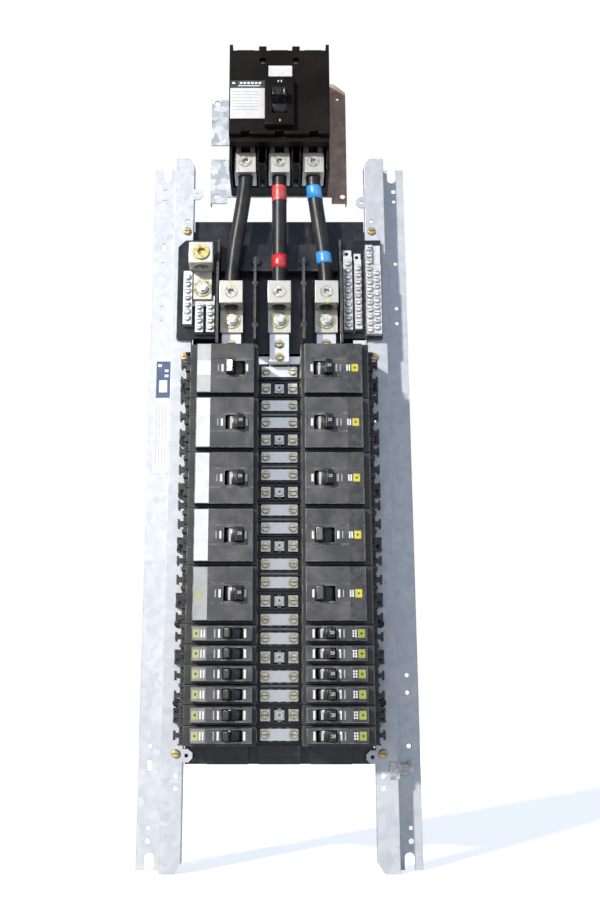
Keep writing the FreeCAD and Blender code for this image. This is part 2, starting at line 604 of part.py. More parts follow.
def main_breaker_cover():
    """Front shell of the main breaker: hollow, with a raised escutcheon round the handle, a hood
    over the load terminals and a raised pad above each line terminal."""
    shell = block((-MAIN_HALF_X, MAIN_HALF_X), (MAIN_PARTING, MAIN_FACE), (MAIN_COVER_Z, MAIN_TOP_Z))
    shell = ease(shell, 1.6, lambda p, e: at_height(p, MAIN_FACE))
    escutcheon = block((-16, 16), (MAIN_FACE - 1, MAIN_ESCUTCHEON), (385.5, 442.4))
    escutcheon = ease(escutcheon, 1.5, lambda p, e: at_height(p, MAIN_ESCUTCHEON))
    hood = block((-MAIN_HALF_X + 1.2, MAIN_HALF_X - 1.2), MAIN_HOOD, (MAIN_HOOD_Z, MAIN_COVER_Z + 1))
    pieces = [shell, escutcheon, hood]
    for x in MAIN_LUG_X:
        pieces.append(block((x - MAIN_TOP_PAD_HALF_X, x + MAIN_TOP_PAD_HALF_X), MAIN_TOP_PAD,
                            (MAIN_TOP_Z - 1, MAIN_TOP_PAD_Z)))
    cuts = [block((-48, 48), (MAIN_PARTING - 1, 64), MAIN_CAVITY_Z),
            crossbar((-MAIN_SLOT_HALF_X - 0.4, MAIN_SLOT_HALF_X + 0.4), MAIN_PIVOT_HEIGHT, MAIN_PIVOT_Z,
                     HUB_R + HUB_CLEARANCE),
            block((-MAIN_SLOT_HALF_X, MAIN_SLOT_HALF_X), (MAIN_PIVOT_HEIGHT, MAIN_ESCUTCHEON + 1),
                  (MAIN_PIVOT_Z - MAIN_SLOT_HALF_Z, MAIN_PIVOT_Z + MAIN_SLOT_HALF_Z))]
    for side in (-1, 1):
        cuts.append(post(side * 18.4, 468.3, 4.2, (MAIN_FACE - 9, MAIN_FACE + 1)))
    for x in MAIN_LUG_X:
        cuts.append(block((x - 11, x + 11), (MAIN_PARTING - 1, 82), (MAIN_LINE_Z, MAIN_TOP_PAD_Z + 1)))
        cuts.append(block((x - 5, x + 5), (60, MAIN_FACE + 1), (MAIN_COVER_Z - 1, MAIN_COVER_Z + 3.5)))
    return fuse(pieces).cut(cuts)


def main_breaker_lugs():
    """Load lugs, each in one piece with its fixed contact strap, and the three line terminal pads."""
    solids = []
    for x in MAIN_LUG_X:
        body = block((x - MAIN_LUG_HALF_X, x + MAIN_LUG_HALF_X), (MAIN_LUG_BACK, MAIN_LUG_FRONT),
                     (MAIN_BOTTOM_Z + 0.4, MAIN_LUG_TOP_Z))
        body = ease(body, 0.8, lambda p, e: at_height(p, MAIN_LUG_FRONT))
        collar = block((x - 10.6, x + 10.6), (44, 62), (MAIN_LUG_TOP_Z - 1, MAIN_COVER_Z - 0.4))
        notch = block((x - 5.2, x + 5.2), (50, 63), (MAIN_LUG_TOP_Z + 1.2, MAIN_COVER_Z + 1))
        strap = block((x - 6, x + 6), (30.2, 33.2), (MAIN_LUG_TOP_Z - 14, 402))
        pad = block((x - 5, x + 5), (33.2, 35.2), (394, 402))
        bore = upright(x, MAIN_BORE_HEIGHT, CABLE_R + CABLE_FIT, (MAIN_BOTTOM_Z - 1, MAIN_LUG_TOP_Z - 6))
        screw_hole = post(x, MAIN_LUG_SCREW_Z, SET_SCREW_R + 0.2, (MAIN_BORE_HEIGHT, MAIN_LUG_FRONT + 1))
        solids.append(fuse([body, collar, strap, pad]).cut([notch, bore, screw_hole]))
        solids.append(block((x - 10, x + 10), (20, 70), (MAIN_LINE_Z + 0.2, MAIN_TOP_Z - 3)))
    return solids


def main_contact_bar():
    """Insulating shaft with the three moving contact arms, turned by the main handle."""
    pieces = [crossbar((-46, 46), CONTACT_HEIGHT, CONTACT_Z, CONTACT_SHAFT_R)]
    for x in MAIN_LUG_X:
        pieces.append(crossbar((x - 7, x + 7), CONTACT_HEIGHT, CONTACT_Z, CONTACT_SHAFT_R + 2.5))
        corners = [(CONTACT_HEIGHT + 2, CONTACT_Z - 2), (CONTACT_HEIGHT - 4, CONTACT_Z + 2),
                   (35.3, 402), (35.3, 394), (40, 394)]
        points = [FreeCAD.Vector(x - 3, -h, z) for h, z in corners]
        face = Part.Face(Part.makePolygon(points + points[:1]))
        pieces.append(face.extrude(FreeCAD.Vector(6, 0, 0)))
    return fuse(pieces)


def main_handle():
    """Toggle of the main breaker: a drum in the cover with a ribbed grip, up when it is on."""
    drum = crossbar((-MAIN_SLOT_HALF_X + 0.4, MAIN_SLOT_HALF_X - 0.4), MAIN_PIVOT_HEIGHT, MAIN_PIVOT_Z, HUB_R)
    tip = MAIN_PIVOT_HEIGHT + MAIN_TIP_R
    half = MAIN_GRIP_THICK / 2
    grip = block((-MAIN_GRIP_HALF_X, MAIN_GRIP_HALF_X), (MAIN_PIVOT_HEIGHT, tip),
                 (MAIN_PIVOT_Z - half, MAIN_PIVOT_Z + half))
    grip = ease(grip, 1.2, lambda p, e: at_height(p, tip))
    solid = fuse([drum, grip])
    grooves = []
    for k in range(MAIN_GRIP_GROOVES):
        x = (k - (MAIN_GRIP_GROOVES - 1) / 2) * 2.4
        across = (x - 0.5, x + 0.5)
        along = (MAIN_PIVOT_Z - half - 1, MAIN_PIVOT_Z + half + 1)
        grooves.append(block(across, (tip - 0.6, tip + 1), along))
        for end in (-1, 1):
            z = MAIN_PIVOT_Z + end * half
            grooves.append(block(across, (MAIN_PIVOT_HEIGHT + 17.5, tip + 1), (z - 0.6, z + 0.6)))
    solid = solid.cut(grooves)
    centre = FreeCAD.Vector(0, -MAIN_PIVOT_HEIGHT, MAIN_PIVOT_Z)
    solid.rotate(centre, FreeCAD.Vector(1, 0, 0), -HANDLE_THROW)
    return solid


def mounting_pan():
    """Sheet-metal pan behind the main breaker, with wings, edge flanges and its own screw holes."""
    left, right = -PAN_HALF_X, PAN_HALF_X - 1.5
    outline = [(left, PAN_BOTTOM_Z), (-PAN_NOTCH_X, PAN_BOTTOM_Z), (-PAN_NOTCH_X, PAN_NOTCH_Z),
               (PAN_NOTCH_X, PAN_NOTCH_Z), (PAN_NOTCH_X, PAN_BOTTOM_Z), (right, PAN_BOTTOM_Z), (right, 478),
               (right - 9, 486), (right - 14, 490), (-57, 490), (-57, 469), (left, 469)]
    sheet = plate(outline, (PAN_BACK, PAN_FRONT))
    flanges = [block((left, left + 1.5), (0, PAN_FRONT), (PAN_BOTTOM_Z, 362)),
               block((right - 1.5, right), (0, PAN_FRONT), (PAN_BOTTOM_Z, 478))]
    cuts = [block((left - 1, -57), (PAN_BACK - 1, PAN_FRONT + 1), (391.7, 410))]
    for side in (-1, 1):
        cuts.append(post(side * PAN_HOLE_X, PAN_HOLE_Z, PAN_HOLE_R, (-1, 20)))
        cuts.append(post(side * MAIN_SCREW_X, MAIN_SCREW_Z, 2.1, (-1, 20)))
    cuts.append(post(-PAN_HOLE_X, 464, 3.6, (-1, 20)))
    cuts.append(post(68.0, 470, 1.6, (-1, 20)))
    return fuse([sheet] + flanges).cut(cuts)


def mounting_screws():
    """Screws that hold the bases to the rails and the main breaker to its pan."""
    solids = []
    for side in (-1, 1):
        for z in RAIL_SCREW_LUG_Z + RAIL_SCREW_BASE_Z:
            solids.append(round_screw(side * FLANGE_HOLE_X, z, 4.4, (RAIL_HEIGHT, RAIL_HEIGHT + 2.6), 1.1))
        solids.append(round_screw(side * MAIN_SCREW_X, MAIN_SCREW_Z, 4.0, (40, 43), 1.0))
    return solids


def turn_points(points):
    """Points where each corner's arc begins and ends, with the arc's middle point."""
    arcs = []
    for before, corner, after in zip(points, points[1:], points[2:]):
        back = (before - corner)
        ahead = (after - corner)
        shorter = min(back.Length, ahead.Length)
        back.normalize()
        ahead.normalize()
        half_turn = (math.pi - back.getAngle(ahead)) / 2
        reach = 0.45 * shorter
        radius = reach / math.tan(half_turn)
        inward = (back + ahead)
        inward.normalize()
        sagitta = radius / math.cos(half_turn) - radius
        arcs.append((corner + back * reach, corner + inward * sagitta, corner + ahead * reach))
    return arcs


def cable(points):
    """A round cable along straight runs joined by tangent arcs."""
    edges = []
    start = points[0]
    for first, middle, last in turn_points(points):
        edges.append(Part.LineSegment(start, first).toShape())
        edges.append(Part.Arc(first, middle, last).toShape())
        start = last
    edges.append(Part.LineSegment(start, points[-1]).toShape())
    path = Part.Wire(edges)
    ring = Part.Wire(Part.makeCircle(CABLE_R, points[0], points[1] - points[0]))
    return path.makePipeShell([ring], True, False)


def main_cables():
    """Three cables from the main breaker's lugs down to the bus lugs."""
    solids = []
    for top_x, low_x in zip(MAIN_LUG_X, LUG_X):
        span = low_x - top_x
        route = [(top_x, MAIN_BORE_HEIGHT, 362.0), (top_x, MAIN_BORE_HEIGHT, 338.0),
                 (top_x + 0.35 * span, MAIN_BORE_HEIGHT - 0.6, 300.0),
                 (top_x + 0.78 * span, LUG_BORE_HEIGHT + 1.0, 262.0),
                 (low_x, LUG_BORE_HEIGHT, 230.0), (low_x, LUG_BORE_HEIGHT, 200.0)]
        solids.append(cable([FreeCAD.Vector(x, -h, z) for x, h, z in route]))
    return solids


def terminal_bar_bases():
    """Insulating carriers of the neutral bars at the left and of the ground bars at the right."""
    left = [(-112, 164), (-69, 164), (-69, 279), (-104, 279), (-112, 271)]
    right = [(69, 164), (112.4, 164), (112.4, 279), (69, 279)]
    solids = []
    for outline, side in ((left, -1), (right, 1)):
        pieces = [plate(outline, (BAR_BASE_BACK, BAR_BASE_FRONT))]
        for z in (175, 235):
            pieces.append(block((side * 72, side * 90), (LUG_BASE_FRONT, BAR_BASE_BACK + 1), (z, z + 22)))
        solids.append(fuse(pieces))
    return solids


def neutral_lug():
    """Large lug on the neutral bars, bored along Z for a cable that is not fitted."""
    body = block((-97.8, -71.4), (38, 65), (239.4, 264.0))
    body = ease(body, 1.2, lambda p, e: at_height(p, 65))
    tang = block((-94, -74), (38, TANG_FRONT), (207, 241))
    bore = upright(NEUTRAL_LUG_X, NEUTRAL_BORE_HEIGHT, NEUTRAL_BORE_R, (238, 266))
    x, z, radius = NEUTRAL_SCREW
    return fuse([body, tang]).cut([bore, post(x, z, radius + 0.2, (NEUTRAL_BORE_HEIGHT, 67))])


def neutral_bars():
    """Three plated screw bars joined by a cross strap under the neutral lug."""
    pieces = [block((-104.6, -70.6), (BAR_BASE_FRONT, 38), (200, 212)),
              block((-94, -74), (BAR_BASE_FRONT, 38), (211, 262))]
    for x0, x1, z0, z1 in NEUTRAL_STRIPS:
        pieces.append(block((x0, x1), (BAR_BASE_FRONT, TERMINAL_FRONT), (z0, z1)))
    return fuse(pieces)


def ground_bars():
    """Two narrow screw bars and one wide two-row bar with its blank upper plate."""
    solids = []
    for x0, x1, z0, z1 in GROUND_STRIPS:
        bar = block((x0, x1), (BAR_BASE_FRONT, TERMINAL_FRONT), (z0, z1 - 10))
        tab = block((x0, x1), (BAR_BASE_FRONT, BAR_BASE_FRONT + 2), (z1 - 12, z1))
        hole = post((x0 + x1) / 2 - 0.6, z1 - 4.5, 2.0, (BAR_BASE_FRONT - 1, TERMINAL_FRONT))
        solids.append(fuse([bar, tab]).cut(hole))
    x0, x1, z0, z1 = WIDE_GROUND_BAR
    wide = block((x0, x1), (BAR_BASE_FRONT, TERMINAL_FRONT), (z0, z1))
    step = block((x0 + 7.5, x1 + 1), (TERMINAL_FRONT - 3, TERMINAL_FRONT + 1), (z1 - 24, z1 + 1))
    solids.append(wide.cut(step))
    return solids


def bar_screws():
    """Slotted screws of the neutral and ground bars, one for each conductor."""
    columns = []
    for x0, x1, z0, z1 in NEUTRAL_STRIPS:
        columns.append(((x0 + x1) / 2, z0, z1))
    for x0, x1, z0, z1 in GROUND_STRIPS:
        columns.append(((x0 + x1) / 2, z0, z1 - 12))
    x0, x1, z0, z1 = WIDE_GROUND_BAR
    columns.append((x0 + 3.9, z0, z1))
    columns.append((x0 + 11.6, z0, z1 - 26))
    solids = []
    for x, z0, z1 in columns:
        count = int((z1 - z0) // TERMINAL_SCREW_PITCH)
        first = (z0 + z1) / 2 - (count - 1) * TERMINAL_SCREW_PITCH / 2
        for k in range(count):
            z = first + k * TERMINAL_SCREW_PITCH
            solids.append(round_screw(x, z, TERMINAL_SCREW_R, (TERMINAL_FRONT, TERMINAL_FRONT + 2.6), 0.9))
    return solids


def spring_clip():
    """Bent spring-steel clip pushed onto the right rail, used to hold the trim's edge."""
    z = CLIP_Z
    pieces = [block((109.5, RAIL_WEB_X + 1.4), (RAIL_HEIGHT, RAIL_HEIGHT + 1.2), (z - 8, z + 8)),
              block((RAIL_WEB_X + 0.2, RAIL_WEB_X + 1.4), (5, RAIL_HEIGHT + 1.2), (z - 5, z + 5)),
              block((RAIL_WEB_X + 0.2, 136), (5, 6.2), (z - 5, z + 5)),
              block((131, 136), (5, 6.2), (z - 5, z + 9))]
    return fuse(pieces)


def branch_case(side, top, poles):
    """Case of a branch breaker: shouldered body, raised face, handle well, terminal shelf
    and one T-shaped wire guide per pole at the outer end."""
    z1 = top - CASE_GAP / 2
    z0 = top - poles * PITCH + CASE_GAP / 2
    middle = (z0 + z1) / 2
    along_well = (middle - WELL_HALF[poles], middle + WELL_HALF[poles])

    def span(a, b):
        return (side * a, side * b)

    body = block(span(CASE_INNER_X, CASE_OUTER_X), (CASE_UNDERCUT, CASE_SHOULDER), (z0, z1))
    body = ease(body, 0.8, lambda p, e: at_height(p, CASE_SHOULDER))
    face = block(span(PLATEAU_INNER_X, PLATEAU_OUTER_X), (CASE_SHOULDER - 1, CASE_FACE),
                 (z0 + PLATEAU_INSET, z1 - PLATEAU_INSET))
    face = ease(face, 0.8, lambda p, e: at_height(p, CASE_FACE))
    shelf = block(span(CASE_OUTER_X - 1, CASE_END_X), (CASE_UNDERCUT, SHELF_HEIGHT), (z0, z1))
    sole = block(span(CASE_INNER_X, CASE_FOOT_X), (CASE_BACK, CASE_UNDERCUT), (z0, z1))
    pieces = [body, face, shelf, sole]
    for k in range(poles + 1):
        z = z0 + k * (z1 - z0) / poles
        low, high = max(z - SHELF_WALL / 2, z0), min(z + SHELF_WALL / 2, z1)
        pieces.append(block(span(CASE_OUTER_X - 1, CASE_WALL_X), (CASE_UNDERCUT + 2, SHELF_WALL_HEIGHT),
                            (low, high)))
    for k in range(poles):
        z = z0 + (k + 0.5) * (z1 - z0) / poles
        pieces.append(block(span(CASE_END_X - 1, GUIDE_REACH_X), GUIDE_HEIGHT,
                            (z - GUIDE_HALF_Z, z + GUIDE_HALF_Z)))
        pieces.append(block(span(GUIDE_TIP_X, GUIDE_REACH_X), GUIDE_HEIGHT,
                            (z - GUIDE_TIP_HALF_Z, z + GUIDE_TIP_HALF_Z)))
    well = upright(side * HANDLE_X, HANDLE_PIVOT, HUB_R + HUB_CLEARANCE, along_well)
    slot = block(span(HANDLE_X - SLOT_HALF_X, HANDLE_X + SLOT_HALF_X), (HANDLE_PIVOT, CASE_FACE + 1),
                 along_well)
    cuts = [well, slot]
    for k in range(1, poles):
        z = z0 + k * (z1 - z0) / poles
        seam = (z - SEAM / 2, z + SEAM / 2)
        cuts.append(block(span(PLATEAU_INNER_X, PLATEAU_OUTER_X), (CASE_FACE - 0.5, CASE_FACE + 1), seam))
        cuts.append(block(span(CASE_INNER_X - 1, CASE_OUTER_X + 1), (CASE_SHOULDER - SEAM, CASE_SHOULDER + 1),
                          seam).cut(face))
    return fuse(pieces).cut(cuts)


def branch_handle(side, top, poles, is_on):
    """Toggle of a branch breaker, thrown towards the centre when it is on."""
    middle = top - poles * PITCH / 2
    hub_half = WELL_HALF[poles] - HUB_SIDE_GAP
    grip_half = GRIP_HALF[poles]
    thick = GRIP_THICK[poles]
    x = side * HANDLE_X
    tip = HANDLE_PIVOT + HANDLE_TIP_R
    hub = upright(x, HANDLE_PIVOT, HUB_R, (middle - hub_half, middle + hub_half))
    grip = block((x - thick / 2, x + thick / 2), (HANDLE_PIVOT, tip),
                 (middle - grip_half, middle + grip_half))
    grip = ease(grip, 1.0, lambda p, e: at_height(p, tip))
    solid = fuse([hub, grip])
    turn = -side * HANDLE_THROW if is_on else side * HANDLE_THROW
    centre = FreeCAD.Vector(x, -HANDLE_PIVOT, middle)
    solid.rotate(centre, FreeCAD.Vector(0, 0, 1), turn)
    return solid


def load_terminal_screws():
    """Wire screws on the terminal shelf at the outer end of every pole."""
    solids = []
    for side in (-1, 1):
        for row in range(ROWS):
            z = ROW_ONE_Z - row * PITCH
            x = side * WIRE_SCREW_X
            solids.append(round_screw(x, z, WIRE_SCREW_R, (SHELF_HEIGHT, SHELF_HEIGHT + 2.8), 1.0))
    return solids


def save(name, solids):
    """One STEP file for each node; a list of separate pieces becomes one group of solids."""
    shape = Part.makeCompound(solids) if isinstance(solids, list) else solids
    shape.exportStep("parts/" + name + ".step")


os.makedirs("parts", exist_ok=True)

save("left_rail", rail(-1, LEFT_RAIL_HOLES, LEFT_TAB_Z, SPARE_HOLE_Z))
save("right_rail", rail(1, RIGHT_RAIL_HOLES, RIGHT_TAB_Z, SPARE_HOLE_Z + (RIGHT_FLANGE_HOLE_Z,)))
save("interior_base", interior_base())
save("lug_base", lug_base())
save("phase_barriers", phase_barriers())
save("bus_bars", bus_bars())
save("branch_connectors", branch_connectors())
save("connector_screws", connector_screws())
save("main_bus_lugs", main_bus_lugs())
save("lug_set_screws", lug_set_screws())
save("tang_bolts", tang_bolts())
save("main_breaker_base", main_breaker_base())
save("main_breaker_cover", main_breaker_cover())
save("main_breaker_lugs", main_breaker_lugs())
save("main_contact_bar", main_contact_bar())
save("main_handle", main_handle())
save("mounting_pan", mounting_pan())
save("mounting_screws", mounting_screws())
save("main_cables", main_cables())
save("terminal_bar_bases", terminal_bar_bases())
save("neutral_lug", neutral_lug())
save("neutral_bars", neutral_bars())
save("ground_bars", ground_bars())
save("bar_screws", bar_screws())
save("spring_clip", spring_clip())
save("load_terminal_screws", load_terminal_screws())

for side_name, side in (("left", -1), ("right", 1)):
    for k in range(THREE_POLE_COUNT):
        top = STACK_TOP - k * POLES * PITCH
        save(f"three_pole_case_{side_name}_{k + 1}", branch_case(side, top, POLES))
        is_on = THREE_POLE_ON[side_name][k]
        save(f"three_pole_handle_{side_name}_{k + 1}", branch_handle(side, top, POLES, is_on))
    cases = []
    for k in range(SINGLE_POLE_COUNT):
        top = STACK_TOP - (THREE_POLE_COUNT * POLES + k) * PITCH
        cases.append(branch_case(side, top, 1))
        save(f"single_pole_handle_{side_name}_{k + 1}", branch_handle(side, top, 1, False))
    save(f"single_pole_cases_{side_name}", cases)
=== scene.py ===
import json
import math

import bmesh
import bpy
from mathutils import Matrix, Vector


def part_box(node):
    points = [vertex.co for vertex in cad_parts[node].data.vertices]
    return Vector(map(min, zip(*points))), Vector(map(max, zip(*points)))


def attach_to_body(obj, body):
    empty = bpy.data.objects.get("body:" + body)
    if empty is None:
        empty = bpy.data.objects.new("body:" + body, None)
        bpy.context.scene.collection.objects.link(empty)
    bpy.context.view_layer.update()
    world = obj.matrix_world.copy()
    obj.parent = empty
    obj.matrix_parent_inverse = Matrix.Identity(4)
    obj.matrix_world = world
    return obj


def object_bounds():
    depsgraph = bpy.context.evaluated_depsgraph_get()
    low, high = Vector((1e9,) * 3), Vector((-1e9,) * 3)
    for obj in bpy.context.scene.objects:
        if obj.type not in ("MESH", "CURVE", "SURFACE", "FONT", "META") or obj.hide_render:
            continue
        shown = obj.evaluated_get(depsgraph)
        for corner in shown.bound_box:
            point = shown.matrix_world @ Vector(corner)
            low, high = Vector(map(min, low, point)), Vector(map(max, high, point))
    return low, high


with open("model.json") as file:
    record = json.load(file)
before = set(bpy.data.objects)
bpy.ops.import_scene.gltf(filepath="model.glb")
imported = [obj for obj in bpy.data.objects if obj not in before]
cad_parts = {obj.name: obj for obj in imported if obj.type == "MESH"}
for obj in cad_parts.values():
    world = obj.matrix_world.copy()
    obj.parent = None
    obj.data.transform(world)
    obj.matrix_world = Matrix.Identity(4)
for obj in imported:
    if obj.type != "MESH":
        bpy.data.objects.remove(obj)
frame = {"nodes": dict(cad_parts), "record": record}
cad_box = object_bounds()
NODES = frame["nodes"]
FRAME_BODY = "frame_assembly"
MM = 0.001

# The camera stands low in front of the panel and looks a little upwards, so that
# the undersides of the lugs and of the toggles show.
CAMERA_PITCH = math.radians(13.794)
camera = bpy.data.objects.new("camera", bpy.data.cameras.new("camera"))
camera.location = (0.0, -1.1372, -0.2313)
camera.rotation_euler = (math.pi / 2 + CAMERA_PITCH, 0, 0)
camera.data.lens = 42.93
camera.data.shift_x = 0.02293
bpy.context.scene.collection.objects.link(camera)
bpy.context.scene.camera = camera

# Plain pale floor under the rails, with a plain pale background. The floor glows a little
# where the camera sees it, so that it meets the background without a line.
FLOOR_GLOW = 0.62
bpy.ops.mesh.primitive_plane_add(size=12, location=(0, 0, cad_box[0].z - 0.001))
floor = bpy.context.object
floor.name = "floor"
floor_paint = bpy.data.materials.new("floor_paint")
floor_paint.use_nodes = True
floor_shader = floor_paint.node_tree.nodes["Principled BSDF"]
floor_shader.inputs["Base Color"].default_value = (0.92, 0.92, 0.91, 1)
floor_shader.inputs["Roughness"].default_value = 0.9
floor_shader.inputs["Specular IOR Level"].default_value = 0.0
floor_shader.inputs["Emission Color"].default_value = (1, 1, 1, 1)
floor_path = floor_paint.node_tree.nodes.new("ShaderNodeLightPath")
floor_glow = floor_paint.node_tree.nodes.new("ShaderNodeMath")
floor_glow.operation = "MULTIPLY"
floor_glow.inputs[1].default_value = FLOOR_GLOW
floor_paint.node_tree.links.new(floor_path.outputs["Is Camera Ray"], floor_glow.inputs[0])
floor_paint.node_tree.links.new(floor_glow.outputs[0], floor_shader.inputs["Emission Strength"])
floor.data.materials.append(floor_paint)

# A key light from the upper left, with a broad sky for the shadows: white along the
# horizon and blue above it. The stops are the sky's colour by height.
SKY_STOPS = ((0.0, (3.6, 3.6, 3.6)), (0.13, (4.6, 4.7, 4.8)), (0.38, (1.4, 1.85, 2.7)),
             (1.0, (0.34, 0.58, 1.1)))
key = bpy.data.objects.new("key", bpy.data.lights.new("key", "SUN"))
key.data.energy = 4.2
key.data.angle = math.radians(3)
key.data.color = (1.0, 0.965, 0.91)
key.rotation_euler = Vector((0.64, 1.0, -0.43)).to_track_quat("-Z", "Y").to_euler()
bpy.context.scene.collection.objects.link(key)
world = bpy.data.worlds.new("sky")
bpy.context.scene.world = world
world.use_nodes = True
sky = world.node_tree
sky_seen = sky.nodes.new("ShaderNodeBackground")
sky_seen.inputs["Color"].default_value = (1, 1, 1, 1)
sky_lit = sky.nodes["Background"]
sky_lit.inputs["Strength"].default_value = 0.23
sky_way = sky.nodes.new("ShaderNodeTexCoord")
sky_axes = sky.nodes.new("ShaderNodeSeparateXYZ")
sky_ramp = sky.nodes.new("ShaderNodeValToRGB")
sky_stops = sky_ramp.color_ramp.elements
sky_stops.new(0.5)
sky_stops.new(0.5)
for stop, (height, colour) in zip(sky_stops, SKY_STOPS):
    stop.position = height
    stop.color = (*colour, 1)
sky.links.new(sky_way.outputs["Generated"], sky_axes.inputs[0])
sky.links.new(sky_axes.outputs["Z"], sky_ramp.inputs["Fac"])
sky.links.new(sky_ramp.outputs["Color"], sky_lit.inputs["Color"])
sky_path = sky.nodes.new("ShaderNodeLightPath")
sky_mix = sky.nodes.new("ShaderNodeMixShader")
sky.links.new(sky_path.outputs["Is Camera Ray"], sky_mix.inputs[0])
sky.links.new(sky_lit.outputs[0], sky_mix.inputs[1])
sky.links.new(sky_seen.outputs[0], sky_mix.inputs[2])
sky.links.new(sky_mix.outputs[0], sky.nodes["World Output"].inputs[0])
bpy.context.scene.view_settings.view_transform = "Standard"


# ---------------------------------------------------------------------------------------
# Side rails. Two long Z-shaped rails, roll formed from hot-dip galvanised sheet and
# punched. They are screwed to the enclosure back and carry both moulded bases.

def new_finish(name, metallic, roughness):
    """A material with its Principled shader, and the node tree to build on."""
    material = bpy.data.materials.new(name)
    material.use_nodes = True
    shader = material.node_tree.nodes["Principled BSDF"]
    shader.inputs["Metallic"].default_value = metallic
    shader.inputs["Roughness"].default_value = roughness
    return material, material.node_tree, shader


def place(tree, kind, settings=None, sockets=None):
    """A new node with its settings and its unlinked socket values."""
    node = tree.nodes.new(kind)
    for key_name, value in (settings or {}).items():
        setattr(node, key_name, value)
    for socket, value in (sockets or {}).items():
        node.inputs[socket].default_value = value
    return node


def object_place(tree, scale=(1, 1, 1)):
    """The position on the piece, in metres, stretched where a grain needs it."""
    where = place(tree, "ShaderNodeTexCoord")
    mapping = place(tree, "ShaderNodeMapping", None, {"Scale": scale})
    tree.links.new(where.outputs["Object"], mapping.inputs["Vector"])
    return mapping.outputs["Vector"]


def along(tree, axis):
    """How far along one axis of the piece a point lies, in metres."""
    split = place(tree, "ShaderNodeSeparateXYZ")
    tree.links.new(object_place(tree), split.inputs[0])
    return split.outputs[axis]


def noise(tree, vector, scale, detail=3.0, rough=0.55):
    node = place(tree, "ShaderNodeTexNoise", None,
                 {"Scale": scale, "Detail": detail, "Roughness": rough})
    tree.links.new(vector, node.inputs["Vector"])
    return node.outputs["Fac"]


def ramp(tree, value, stops):
    """A colour ramp with (position, colour) stops."""
    node = place(tree, "ShaderNodeValToRGB")
    elements = node.color_ramp.elements
    while len(elements) < len(stops):
        elements.new(0.5)
    for element, (position, colour) in zip(elements, stops):
        element.position = position
        element.color = (*colour, 1)
    tree.links.new(value, node.inputs["Fac"])
    return node.outputs["Color"]


def maths(tree, operation, first, second=None, clamp=False):
    node = place(tree, "ShaderNodeMath", {"operation": operation, "use_clamp": clamp})
    for index, value in enumerate((first, second)):
        if value is None:
            continue
        if isinstance(value, (int, float)):
            node.inputs[index].default_value = value
        else:
            tree.links.new(value, node.inputs[index])
    return node.outputs[0]


def above(tree, value, level, gain):
    """Mask that rises from 0 to 1 where a value passes a level."""
    return maths(tree, "MULTIPLY", maths(tree, "SUBTRACT", value, level), gain, True)


def blend_colour(tree, factor, first, second, mode="MIX"):
    node = place(tree, "ShaderNodeMix", {"data_type": "RGBA", "blend_type": mode})
    for index, value in ((0, factor), (6, first), (7, second)):
        if isinstance(value, (int, float)):
            node.inputs[index].default_value = value
        elif isinstance(value, tuple):
            node.inputs[index].default_value = (*value, 1)
        else:
            tree.links.new(value, node.inputs[index])
    return node.outputs[2]


def bump(tree, height, strength, distance, shader):
    node = place(tree, "ShaderNodeBump", None, {"Strength": strength, "Distance": distance})
    tree.links.new(height, node.inputs["Height"])
    tree.links.new(node.outputs["Normal"], shader.inputs["Normal"])
    return node


def make_group(name, inputs, outputs):
    """An empty shader group with float inputs (name, default) and outputs (name, type)."""
    group = bpy.data.node_groups.new(name, "ShaderNodeTree")
    for socket, default in inputs:
        made = group.interface.new_socket(socket, in_out="INPUT", socket_type="NodeSocketFloat")
        made.default_value = default
    for socket, kind in outputs:
        group.interface.new_socket(socket, in_out="OUTPUT", socket_type=kind)
    return group, group.nodes.new("NodeGroupInput"), group.nodes.new("NodeGroupOutput")


def edge_wear_group():
    """Mask that is 1 on the rubbed outer edges of a piece, broken up by noise."""
    group, given, made = make_group("edge_wear", (("Radius", 0.0008), ("Break Up", 120.0)),
                                    (("Mask", "NodeSocketFloat"),))
    rounded = place(group, "ShaderNodeBevel", {"samples": 4})
    group.links.new(given.outputs["Radius"], rounded.inputs["Radius"])
    flat = place(group, "ShaderNodeNewGeometry")
    facing = place(group, "ShaderNodeVectorMath", {"operation": "DOT_PRODUCT"})
    group.links.new(rounded.outputs["Normal"], facing.inputs[0])
    group.links.new(flat.outputs["Normal"], facing.inputs[1])
    bend = maths(group, "SUBTRACT", 1.0, facing.outputs["Value"])
    edge = maths(group, "MULTIPLY", bend, 9.0, True)
    patches = place(group, "ShaderNodeTexNoise", None, {"Detail": 4.0})
    where = place(group, "ShaderNodeTexCoord")
    group.links.new(where.outputs["Object"], patches.inputs["Vector"])
    group.links.new(given.outputs["Break Up"], patches.inputs["Scale"])
    broken = above(group, patches.outputs["Fac"], 0.38, 4.0)
    group.links.new(maths(group, "MULTIPLY", edge, broken, True), made.inputs["Mask"])
    return group


def dust_group():
    """Mask of soft patches and fine specks of settled dust."""
    group, given, made = make_group("settled_dust", (("Amount", 0.4), ("Scale", 60.0)),
                                    (("Mask", "NodeSocketFloat"),))
    where = place(group, "ShaderNodeTexCoord")
    wide = place(group, "ShaderNodeTexNoise", None, {"Detail": 5.0, "Roughness": 0.65})
    group.links.new(where.outputs["Object"], wide.inputs["Vector"])
    group.links.new(given.outputs["Scale"], wide.inputs["Scale"])
    speck = place(group, "ShaderNodeTexNoise", None, {"Scale": 1400.0, "Detail": 2.0})
    group.links.new(where.outputs["Object"], speck.inputs["Vector"])
    patches = above(group, wide.outputs["Fac"], 0.42, 3.2)
    specks = above(group, speck.outputs["Fac"], 0.52, 6.0)
    both = maths(group, "ADD", patches, maths(group, "MULTIPLY", specks, 0.35), True)
    group.links.new(maths(group, "MULTIPLY", both, given.outputs["Amount"], True), made.inputs["Mask"])
    return group


